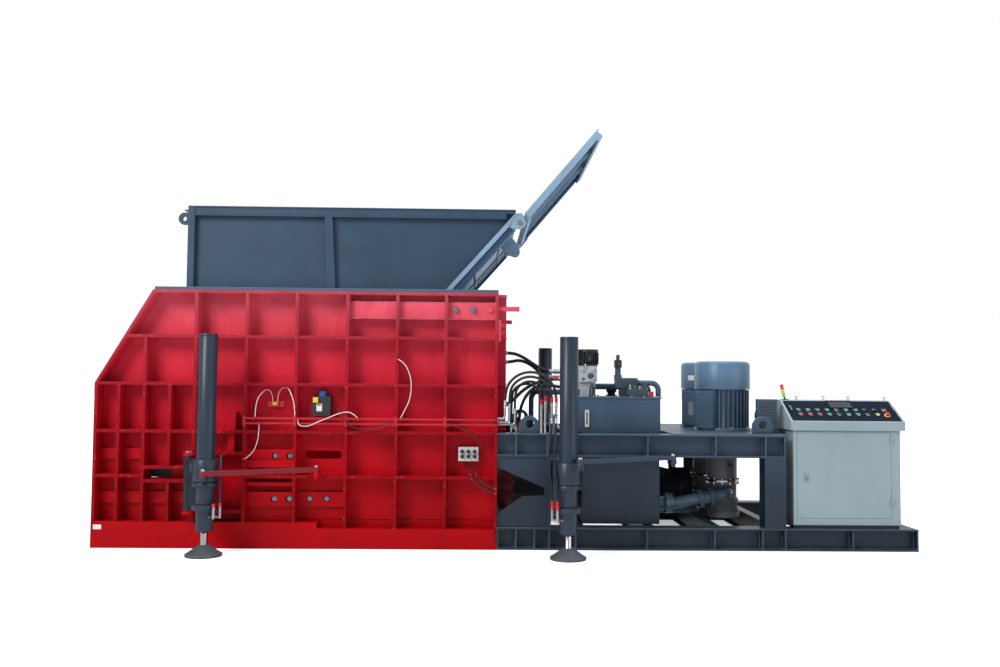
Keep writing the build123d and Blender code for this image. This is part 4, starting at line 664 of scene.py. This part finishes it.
def slab(bm, size, place=Matrix.Identity(4), material=0):
    """A box of that size, centred on place."""
    made = bmesh.ops.create_cube(bm, size=1, matrix=place @ Matrix.Diagonal((*size, 1)))
    for vert in made["verts"]:
        for face in vert.link_faces:
            face.material_index = material


def aim(at, direction):
    """A place whose Z points along a direction."""
    return Matrix.Translation(at) @ Vector(direction).to_track_quat("Z", "Y").to_matrix().to_4x4()


def hex_bolt(bm, at, direction, across, height, material=0):
    """Bolt head with a washer and a chamfered hexagon."""
    place = aim(at, direction)
    r = across / math.sqrt(3)
    washer = [(r * 1.25, 0), (r * 1.25, height * 0.18), (r * 0.98, height * 0.2)]
    head = [(r, height * 0.18), (r, height * 0.85), (r * 0.86, height), (0, height)]
    turn(bm, washer, place, 20, material)
    turn(bm, head, place, 6, material)


def around(x, y, radius, count, start):
    """Places on a circle about an upright axis, each with its way outwards."""
    for i in range(count):
        a = math.radians(start + 360 / count * i)
        out = (math.cos(a), math.sin(a), 0)
        yield x + radius * out[0], y + radius * out[1], out


# Hoses and cables, each as its radius and the corners of its route

PRESSURE = 0.017
ARCHED = 0.013
LEG = 0.012
GREASE = 0.004
SIGNAL = 0.005
POWER = 0.007

HOSES = [
    (PRESSURE, [(-0.060, -0.600, 1.966), (0.040, -0.600, 1.972), (0.160, -0.600, 1.925),
                (0.285, -0.600, 1.838), (0.390, -0.600, 1.783), (0.480, -0.600, 1.776)]),
    (PRESSURE, [(-0.060, -0.560, 1.870), (0.010, -0.560, 1.872), (0.130, -0.560, 1.898),
                (0.255, -0.560, 1.842), (0.352, -0.560, 1.745), (0.415, -0.560, 1.717),
                (0.480, -0.560, 1.712)]),
    (PRESSURE, [(-0.060, -0.700, 1.411), (0.035, -0.700, 1.450), (0.130, -0.700, 1.560),
                (0.250, -0.698, 1.640), (0.390, -0.693, 1.690), (0.520, -0.690, 1.700)]),
    (PRESSURE, [(0.110, -0.760, 1.195), (0.112, -0.760, 1.320), (0.150, -0.760, 1.470),
                (0.235, -0.760, 1.590), (0.350, -0.755, 1.640), (0.480, -0.740, 1.625),
                (0.610, -0.725, 1.600), (0.7445, -0.72, 1.598)]),
    (ARCHED, [(-0.046, -1.130, 1.430), (-0.046, -1.130, 1.579), (0.021, -1.151, 1.695),
              (0.137, -1.189, 1.762), (0.270, -1.231, 1.762), (0.386, -1.269, 1.695),
              (0.453, -1.290, 1.579), (0.453, -1.290, 1.465)]),
    (ARCHED, [(-0.003, -1.105, 1.395), (-0.003, -1.105, 1.565), (0.052, -1.130, 1.661),
              (0.148, -1.173, 1.716), (0.259, -1.222, 1.716), (0.355, -1.265, 1.661),
              (0.410, -1.290, 1.565), (0.410, -1.290, 1.462)]),
    (ARCHED, [(0.054, -1.080, 1.345), (0.054, -1.080, 1.557), (0.095, -1.083, 1.627),
              (0.165, -1.089, 1.668), (0.247, -1.096, 1.668), (0.317, -1.102, 1.627),
              (0.358, -1.105, 1.557), (0.358, -1.105, 1.477)]),
    (ARCHED, [(0.020, -1.020, 1.200), (0.020, -1.020, 1.536), (0.060, -1.031, 1.605),
              (0.129, -1.051, 1.645), (0.209, -1.074, 1.645), (0.278, -1.094, 1.605),
              (0.318, -1.105, 1.536), (0.318, -1.105, 1.440)]),
    (LEG, [(0.392, -1.662, 0.500), (0.392, -1.662, 0.620), (0.370, -1.640, 0.820),
           (0.362, -1.560, 0.970), (0.376, -1.440, 1.070), (0.400, -1.325, 1.150),
           (0.410, -1.290, 1.235), (0.410, -1.290, 1.310)]),
    (LEG, [(0.435, -1.723, 0.500), (0.435, -1.723, 0.620), (0.416, -1.695, 0.825),
           (0.408, -1.600, 0.975), (0.425, -1.460, 1.068), (0.446, -1.325, 1.150),
           (0.453, -1.290, 1.235), (0.453, -1.290, 1.310)]),
]

GREASE_LINES = [
    (GREASE, [(-2.384, -1.003, 1.438), (-2.384, -1.003, 1.510), (-2.425, -1.040, 1.580),
              (-2.490, -1.110, 1.520), (-2.520, -1.160, 1.420), (-2.523, -1.162, 1.293)]),
    (GREASE, [(-2.336, -1.003, 1.438), (-2.336, -1.003, 1.510), (-2.290, -1.040, 1.585),
              (-2.210, -1.110, 1.590), (-2.160, -1.163, 1.500), (-2.132, -1.163, 1.400),
              (-2.130, -1.163, 1.307)]),
    (GREASE, [(-2.096, -1.186, 1.269), (-2.090, -1.186, 1.228), (-2.060, -1.186, 1.205),
              (-1.990, -1.186, 1.208), (-1.900, -1.186, 1.250), (-1.790, -1.186, 1.296),
              (-1.660, -1.186, 1.350), (-1.566, -1.186, 1.352), (-1.506, -1.186, 1.293)]),
    (GREASE, [(-1.118, -1.165, 1.880), (-1.060, -1.165, 1.852), (-1.002, -1.165, 1.750),
              (-0.977, -1.165, 1.625), (-0.992, -1.165, 1.480), (-1.050, -1.165, 1.360),
              (-1.083, -1.165, 1.293)]),
    (GREASE, [(-2.480, -1.165, 1.219), (-2.480, -1.165, 1.130), (-2.498, -1.165, 1.030),
              (-2.540, -1.165, 0.930), (-2.614, -1.165, 0.880)]),
]

BLACK_CABLES = [
    (SIGNAL, [(-1.792, -1.040, 1.400), (-1.750, -1.060, 1.400), (-1.712, -1.150, 1.380),
              (-1.668, -1.190, 1.312), (-1.610, -1.190, 1.235), (-1.540, -1.190, 1.192),
              (-1.435, -1.188, 1.178), (-1.290, -1.188, 1.190), (-1.172, -1.188, 1.231)]),
    (SIGNAL, [(-0.596, -1.188, 1.231), (-0.530, -1.188, 1.218), (-0.430, -1.188, 1.176),
              (-0.340, -1.176, 1.110), (-0.272, -1.130, 1.015), (-0.248, -1.070, 0.955),
              (-0.307, -1.028, 0.936)]),
    (POWER, [(-0.360, -1.020, 0.866), (-0.360, -1.045, 0.815), (-0.346, -1.125, 0.776),
             (-0.320, -1.168, 0.726), (-0.240, -1.168, 0.640), (-0.147, -1.166, 0.600)]),
    (POWER, [(-0.420, -1.020, 0.866), (-0.420, -1.045, 0.815), (-0.405, -1.125, 0.774),
             (-0.378, -1.168, 0.724), (-0.280, -1.168, 0.600), (-0.147, -1.166, 0.560)]),
]




def run_hose(name, radius, route, material, node):
    """One hose as a smooth round tube along its route."""
    curve = bpy.data.curves.new(name, "CURVE")
    curve.dimensions = "3D"
    curve.bevel_depth = radius
    curve.bevel_resolution = 5
    curve.resolution_u = 14
    curve.use_fill_caps = True
    spline = curve.splines.new("NURBS")
    spline.points.add(len(route) - 1)
    for point, (x, y, z) in zip(spline.points, route):
        point.co = (x, y, z, 1)
    spline.order_u = 3
    spline.use_endpoint_u = True
    made = bpy.data.objects.new(name, curve)
    curve.materials.append(material)
    bpy.context.scene.collection.objects.link(made)
    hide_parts(node)
    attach(made, "machine")


for group, routes, material, node, slot in (
    ("hose", HOSES, hose_rubber, "hydraulic_hoses", "hose_rubber"),
    ("grease_line", GREASE_LINES, grease_line, "thin_cables", "cable_sheath"),
    ("black_cable", BLACK_CABLES, black_plastic, "thin_cables", "cable_sheath"),
):
    for number, (radius, route) in enumerate(routes, 1):
        run_hose(f"{group}_{number}", radius, route, material, node)

# Weld beads in the cells of the shear box

RIB_Z = (0.258, 0.705, 1.146, 1.618, 2.091, 2.540)
MAIN_RIBS = (-2.626, -2.130, -1.627, -1.130, -0.642, -0.120)
FINE_RIBS = (-4.095, -3.872, -3.622, -3.372, -3.128)
RIB_HALF = 0.015
SKIN_Y = 0.970
BAR_FOOT_Y = 1.0895
WALL_WELD = 0.011
BAR_WELD = 0.0055


def weld(bm, start, end, legs, size):
    """A fillet with an uneven face along one inner corner."""
    start, end = Vector(start), Vector(end)
    steps = max(2, round((end - start).length / 0.03))
    rings = []
    for i in range(steps + 1):
        at = start.lerp(end, i / steps)
        leg = size * (0.8 + 0.4 * random.random())
        rings.append([bm.verts.new(at + Vector(way) * leg) for way in ((0, 0, 0), *legs)])
    for low, high in zip(rings, rings[1:]):
        for i in range(3):
            j = (i + 1) % 3
            bm.faces.new((low[i], low[j], high[j], high[i]))
    bm.faces.new(rings[0])
    bm.faces.new(rings[-1])


cells = []
for row in range(5):
    ribs = MAIN_RIBS if row > 1 else MAIN_RIBS[1:]
    if row == 2:
        ribs = FINE_RIBS + ribs
    for left, right in zip(ribs, ribs[1:]):
        cells.append((left + RIB_HALF, right - RIB_HALF,
                      RIB_Z[row] + RIB_HALF, RIB_Z[row + 1] - RIB_HALF))
for name, side in SIDES:
    bm = bmesh.new()
    y, out = SKIN_Y * side, (0, side, 0)
    for x0, x1, z0, z1 in cells:
        weld(bm, (x0, y, z1), (x1, y, z1), (out, (0, 0, -1)), WALL_WELD)
        weld(bm, (x0, y, z0), (x1, y, z0), (out, (0, 0, 1)), WALL_WELD)
        weld(bm, (x0, y, z0), (x0, y, z1), (out, (1, 0, 0)), WALL_WELD)
        weld(bm, (x1, y, z0), (x1, y, z1), (out, (-1, 0, 0)), WALL_WELD)
    piece(f"wall_welds_{name}", bm, red_edge, "machine", "red_paint")

for name, side in SIDES:
    bm = bmesh.new()
    y, out = BAR_FOOT_Y * side, (0, side, 0)
    for x0, x1 in ((-1.612, -1.145), (-1.115, -0.657), (-0.627, -0.122)):
        for z, up in ((2.2905, -1), (2.4545, 1)):
            weld(bm, (x0, y, z), (x1, y, z), (out, (0, 0, up)), BAR_WELD)
    piece(f"bar_welds_{name}", bm, bar_edge, "machine", "red_paint")

# Dark plate with bolts set into the rod window: painted shade standing for the dark inside of the
# window

bm = bmesh.new()
slab(bm, (0.208, 0.006, 0.093), Matrix.Translation((-3.4925, -0.945, 0.724)))
for x in (-3.580, -3.4925, -3.405):
    for z in (0.688, 0.760):
        hex_bolt(bm, (x, -0.948, z), (0, -1, 0), 0.010, 0.006)
piece("window_shade_plate", bm, near_black, "machine", "red_paint", bevel=0.001)

# Bolts

bm = bmesh.new()
for x in BAR_BOLT_X:
    hex_bolt(bm, (x, -1.112, BAR_BOLT_Z), (0, -1, 0), 0.036, 0.020)
piece("bar_bolt_heads", bm, dark_steel, "machine", "blade_steel", bevel=0.0008)

bm = bmesh.new()
for _, side in SIDES:
    for x in BLADE_BOLT_X:
        for z in BLADE_BOLT_Z:
            hex_bolt(bm, (x, side * 1.0248, z), (0, side, 0), 0.030, 0.012)
    for x in SEAT_BOLT_X:
        hex_bolt(bm, (x, side * 0.9998, SEAT_BOLT_Z), (0, side, 0), 0.028, 0.012)
piece("blade_bolt_heads", bm, dark_steel, "machine", "blade_steel", bevel=0.0006)

bm = bmesh.new()
for i in range(7):
    for y in (-0.937, -0.253):
        hex_bolt(bm, (0.735 + 0.13 * i, y, 1.519), (0, 0, 1), 0.019, 0.010)
for y in (-0.82, -0.70, -0.50, -0.38):
    hex_bolt(bm, (0.706, y, 1.519), (0, 0, 1), 0.019, 0.010)
piece("tank_lid_bolts", bm, zinc_steel, "machine", "pipe_steel", bevel=0.0005)

for name, side in SIDES:
    y = MOTOR_Y * side
    bm = bmesh.new()
    for at_x, at_y, _ in around(MOTOR_X, y, 0.283, 8, 5):
        hex_bolt(bm, (at_x, at_y, 1.191), (0, 0, 1), 0.024, 0.014)
    for at_x, at_y, out in around(MOTOR_X, y, 0.2928, 4, 45):
        hex_bolt(bm, (at_x, at_y, 1.614), out, 0.016, 0.008)
    piece(f"motor_bolts_{name}", bm, bright_steel, "machine", "pipe_steel", bevel=0.0005)
    bm = bmesh.new()
    shank = [(0, -0.030), (0.006, -0.030), (0.006, -0.026), (0.010, -0.025), (0.010, 0)]
    for at_x, at_y, _ in around(MOTOR_X, y, 0.168, 12, 15):
        hex_bolt(bm, (at_x, at_y, 0.640), (0, 0, 1), 0.019, 0.011)
        turn(bm, shank, Matrix.Translation((at_x, at_y, 0.615)), 8)
    piece(f"bell_bolts_{name}", bm, bright_steel, "machine", "pipe_steel", bevel=0.0005)


# Collars of the hoses

def collar(bm, at, towards, r, material):
    """Crimped sleeve over the end of a hose."""
    place = aim(at, Vector(towards) - Vector(at))
    rise = [(r + 0.0004, 0.0), (r + 0.0035, 0.001), (r + 0.0035, 0.010)]
    for i in range(4):
        z = 0.012 + 0.008 * i
        rise += [(r + 0.0022, z), (r + 0.0038, z + 0.003), (r + 0.0038, z + 0.006)]
    rise += [(r + 0.0035, 0.050), (r + 0.0004, 0.052)]
    turn(bm, rise, place, 20, material)


# Hoses, counted from 1, whose collar at that end is red
RED_AT_START = (4, 9, 10)
RED_AT_END = (3, 5, 6, 7, 8)

bm = bmesh.new()
for number, (radius, route) in enumerate(HOSES, 1):
    collar(bm, route[0], route[1], radius, int(number in RED_AT_START))
    collar(bm, route[-1], route[-2], radius, int(number in RED_AT_END))
piece("hose_collars", bm, [bright_steel, red_pipe], "machine", "pipe_steel")

# Cable glands on the junction box

bm = bmesh.new()
gland = [(0.0165, 0.0), (0.0165, 0.007), (0.013, 0.009), (0.013, 0.018), (0.007, 0.023), (0, 0.023)]
for i in range(3):
    for z in (0.912, 0.962):
        turn(bm, gland, aim((-0.470 + 0.062 * i, -1.0839, z), (0, -1, 0)), 16)
piece("box_glands", bm, black_plastic, "machine", "box_plastic")

# Tank: sight glass, plugs of the valves and the manifold, fittings of the side valve

GAUGE_X = 0.796
bm = bmesh.new()
tube = [(0.0055, 0.0), (0.0055, 0.116), (0, 0.116)]
turn(bm, tube, Matrix.Translation((GAUGE_X, -0.957, 1.240)), 14, 1)
slab(bm, (0.018, 0.001, 0.120), Matrix.Translation((GAUGE_X, -0.9515, 1.298)), 2)
for z in (1.224, 1.372):
    hex_bolt(bm, (GAUGE_X, -0.962, z), (0, -1, 0), 0.017, 0.008)
piece("sight_glass", bm, [bright_steel, plate_grey, teal_plastic], "machine", "fitting_plastic")

bm = bmesh.new()
sleeve = [(0.009, 0), (0.009, 0.016), (0.006, 0.020), (0, 0.020)]
screw = [(0.004, 0), (0.004, 0.004), (0, 0.005)]
for x, y, z in ((1.149, -0.7405, 1.862), (0.843, -0.7395, 1.915)):
    slab(bm, (0.030, 0.022, 0.034), Matrix.Translation((x, y, z)))
    turn(bm, sleeve, aim((x, y, z - 0.017), (0, 0, -1)), 12)
    turn(bm, screw, aim((x, y - 0.011, z), (0, -1, 0)), 10, 1)
piece("valve_plugs", bm, [black_plastic, bright_steel], "machine", "fitting_plastic", bevel=0.0012)

bm = bmesh.new()
for x, z, r in ((0.775, 1.790, 0.018), (0.888, 1.790, 0.018), (0.888, 1.700, 0.016)):
    plug = [(r, 0), (r, 0.006), (r * 0.8, 0.008), (r * 0.8, 0.013), (r * 0.55, 0.014),
            (r * 0.5, 0.002), (0, 0.002)]
    turn(bm, plug, aim((x, -0.801, z), (0, -1, 0)), 18)
ring = [(0.040, 0), (0.040, 0.004), (0.031, 0.005), (0.031, 0)]
turn(bm, ring, aim((0.853, -0.800, 1.730), (0, -1, 0)), 28)
stem = [(0.007, 0), (0.007, 0.030), (0.011, 0.030), (0.011, 0.052), (0.005, 0.056), (0, 0.056)]
turn(bm, stem, aim((0.790, -0.803, 1.800), (0, -0.3, 1)), 14, 2)
piece("manifold_plugs", bm, [zinc_steel, near_black, bright_steel], "machine", "valve_iron")

bm = bmesh.new()
SIDE_VALVE_TOP = 1.600
for x, r, h in ((1.250, 0.012, 0.045), (1.350, 0.011, 0.03)):
    fitting = [(r * 1.5, 0), (r * 1.5, h * 0.25), (r, h * 0.3), (r, h * 0.7),
               (r * 1.3, h * 0.75), (r * 1.3, h), (0, h)]
    turn(bm, fitting, Matrix.Translation((x, -0.86, SIDE_VALVE_TOP)), 12)
socket = [(0.007, 0), (0.007, 0.007), (0.005, 0.008), (0.0035, 0.008), (0.0035, 0.004), (0, 0.004)]
for x in (1.236, 1.366, 1.429):
    for y in (-0.890, -0.830):
        turn(bm, socket, Matrix.Translation((x, y, SIDE_VALVE_TOP)), 10, 1)
piece("side_valve_fittings", bm, [bright_steel, zinc_steel], "machine", "valve_iron")

# Cooler fins

bm = bmesh.new()
for i in range(44):
    slab(bm, (0.0012, 0.009, 0.300), Matrix.Translation((2.570 + 0.004 * i, -0.9185, 1.334)))
piece("cooler_fins", bm, dark_steel, "machine", "cooler_paint", smooth=0)

# Name plates of the motors, and the bolts of their terminal pads

bm = bmesh.new()
for y in (-MOTOR_Y, MOTOR_Y):
    pad = Matrix.Translation((MOTOR_X, y, 0)) @ Matrix.Rotation(math.radians(-140), 4, "Z")
    if y > 0:
        slab(bm, (0.0015, 0.085, 0.055), pad @ Matrix.Translation((0.2942, 0.0, 1.725)), 0)
        slab(bm, (0.0015, 0.070, 0.150), pad @ Matrix.Translation((0.3206, 0.02, 1.375)), 1)
    for z in (1.235, 1.565):
        for dy in (-0.088, 0.088):
            at = pad @ Vector((0.3198, dy, z))
            hex_bolt(bm, at, pad.to_3x3() @ Vector((1, 0, 0)), 0.013, 0.007, 2)
piece("motor_plates", bm, [white_plastic, plate_grey, zinc_steel],
      "machine", "motor_paint", bevel=0.0004)

# Control desk

SLOPE = Matrix.Rotation(math.atan2(0.208, 0.365), 4, "X")
BUTTON_X = 2.976
BUTTON_PITCH = 0.0985
BUTTON_ROWS = (0.124, 0.210)


def on_panel(x, t, lift=0.0):
    """Place on the sloping panel whose Z stands out of it."""
    up = Vector((0, *PANEL_UP))
    out = Vector((0, -PANEL_UP[1], PANEL_UP[0]))
    return Matrix.Translation(Vector((x, *PANEL_FOOT)) + up * t + out * lift) @ SLOPE


# The cap of each button as its place in the list of the piece's materials, None for no button
CAP_MATERIALS = [bright_steel, green_plastic, red_plastic, white_plastic, black_plastic,
                 box_plastic, yellow_plastic]
LABEL = 5
CAPS = ((2, 2, 2, 1, 4, 1, 1, 4, 6, None), (1, 1, 1, 1, 4, 1, 1, None, None, 2))
COLLAR = [(0.0195, 0.0), (0.0195, 0.0095), (0.0178, 0.0115), (0.0165, 0.0115), (0.0165, 0.0092)]
CAP = [(0.0160, 0.0092), (0.0160, 0.0170), (0.0135, 0.0205), (0, 0.0215)]

bm = bmesh.new()
for t, row in zip(BUTTON_ROWS, CAPS):
    for i, cap in enumerate(row):
        x = BUTTON_X + BUTTON_PITCH * i
        if cap is not None:
            turn(bm, COLLAR, on_panel(x, t), 20)
            turn(bm, CAP, on_panel(x, t), 20, cap)
        slab(bm, (0.034, 0.009, 0.0012), on_panel(x, t + 0.034, 0.0006), LABEL)
piece("desk_buttons", bm, CAP_MATERIALS, "machine", "button_plastic", bevel=0.0003)

bm = bmesh.new()
slab(bm, (0.228, 0.114, 0.001), on_panel(3.440, 0.325, 0.0066), 0)
LINES_LIFT = 0.0073
for i in range(5):
    width = 0.010 + 0.012 * (i % 3)
    slab(bm, (width, 0.004, 0.0004), on_panel(3.360 + 0.036 * i, 0.350, LINES_LIFT), 1)
    slab(bm, (0.022, 0.010, 0.0004), on_panel(3.360 + 0.040 * i, 0.290, LINES_LIFT), 1)
slab(bm, (0.210, 0.0015, 0.0004), on_panel(3.440, 0.312, LINES_LIFT), 1)
piece("desk_screen", bm, [glass_black, screen_lines], "machine", "panel_paint")

bm = bmesh.new()
disc = [(0.0135, 0.0003), (0.0135, 0.0018), (0.029, 0.0018), (0.030, 0.0003)]
turn(bm, disc, on_panel(BUTTON_X + BUTTON_PITCH * 9, BUTTON_ROWS[0]), 28)
piece("stop_ring", bm, yellow_plastic, "machine", "stop_plastic")

bm = bmesh.new()
for x in (3.021, 3.304, 3.567, 3.950):
    at = Matrix.Translation((x, -0.735, 1.500))
    turn(bm, [(0.013, 0), (0.013, 0.004), (0.006, 0.006), (0.005, 0.012)], at, 14)
    eye = [(0.013 + 0.0038 * math.cos(a * math.pi / 4), 0.0038 * math.sin(a * math.pi / 4))
           for a in range(9)]
    turn(bm, eye, at @ Matrix.Translation((0, 0, 0.026)) @ Matrix.Rotation(math.pi / 2, 4, "X"), 20)
bmesh.ops.remove_doubles(bm, verts=bm.verts, dist=0.00001)
piece("desk_eye_bolts", bm, bright_steel, "machine", "pin_steel")

bm = bmesh.new()
rivet = [(0.005, 0), (0.0042, 0.0018), (0.002, 0.0026), (0, 0.0028)]
for i in range(7):
    y, z = -1.100 + 0.048 * i, 1.285 + 0.0273 * i
    for x, way in ((2.838, -1), (3.998, 1)):
        turn(bm, rivet, aim((x, y, z), (way, 0, 0)), 10)
piece("desk_rivets", bm, zinc_steel, "machine", "cabinet_paint")

bm = bmesh.new()
LOCK_X = 2.999
barrel = [(0.012, 0), (0.012, 0.003), (0.008, 0.004), (0.008, 0.006), (0, 0.006)]
turn(bm, barrel, aim((LOCK_X, -1.104, 0.710), (0, -1, 0)), 16)
lever = Matrix.Translation((LOCK_X, -1.1065, 0.742)) @ Matrix.Rotation(0.5, 4, "Y")
slab(bm, (0.010, 0.005, 0.038), lever)
piece("door_lock", bm, plate_grey, "door", "cabinet_paint", bevel=0.0015)

# Bare labels of the grease pump, and the plate on the sill of the shear box

bm = bmesh.new()
slab(bm, (0.055, 0.0012, 0.075), Matrix.Translation((-1.905, -1.0756, 1.390)), 0)
slab(bm, (0.042, 0.0006, 0.012), Matrix.Translation((-1.905, -1.0764, 1.415)), 1)
ellipse = (Matrix.Translation((-2.360, -1.0161, 1.424)) @ Matrix.Rotation(math.pi / 2, 4, "X")
           @ Matrix.Diagonal((1.6, 1, 1, 1)))
turn(bm, [(0.016, -0.0001), (0.016, 0.0008), (0, 0.0010)], ellipse, 24, 2)
piece("pump_labels", bm, [white_plastic, black_plastic, yellow_plastic],
      "machine", "fitting_plastic")

bm = bmesh.new()
slab(bm, (0.080, 0.0012, 0.045), Matrix.Translation((-4.045, -1.1508, 0.205)), 0)
for x in (-4.080, -4.010):
    turn(bm, [(0.003, 0), (0.002, 0.0012), (0, 0.0015)], aim((x, -1.1514, 0.205), (0, -1, 0)), 8, 1)
piece("sill_plate", bm, [white_plastic, zinc_steel], "machine", "fitting_plastic")
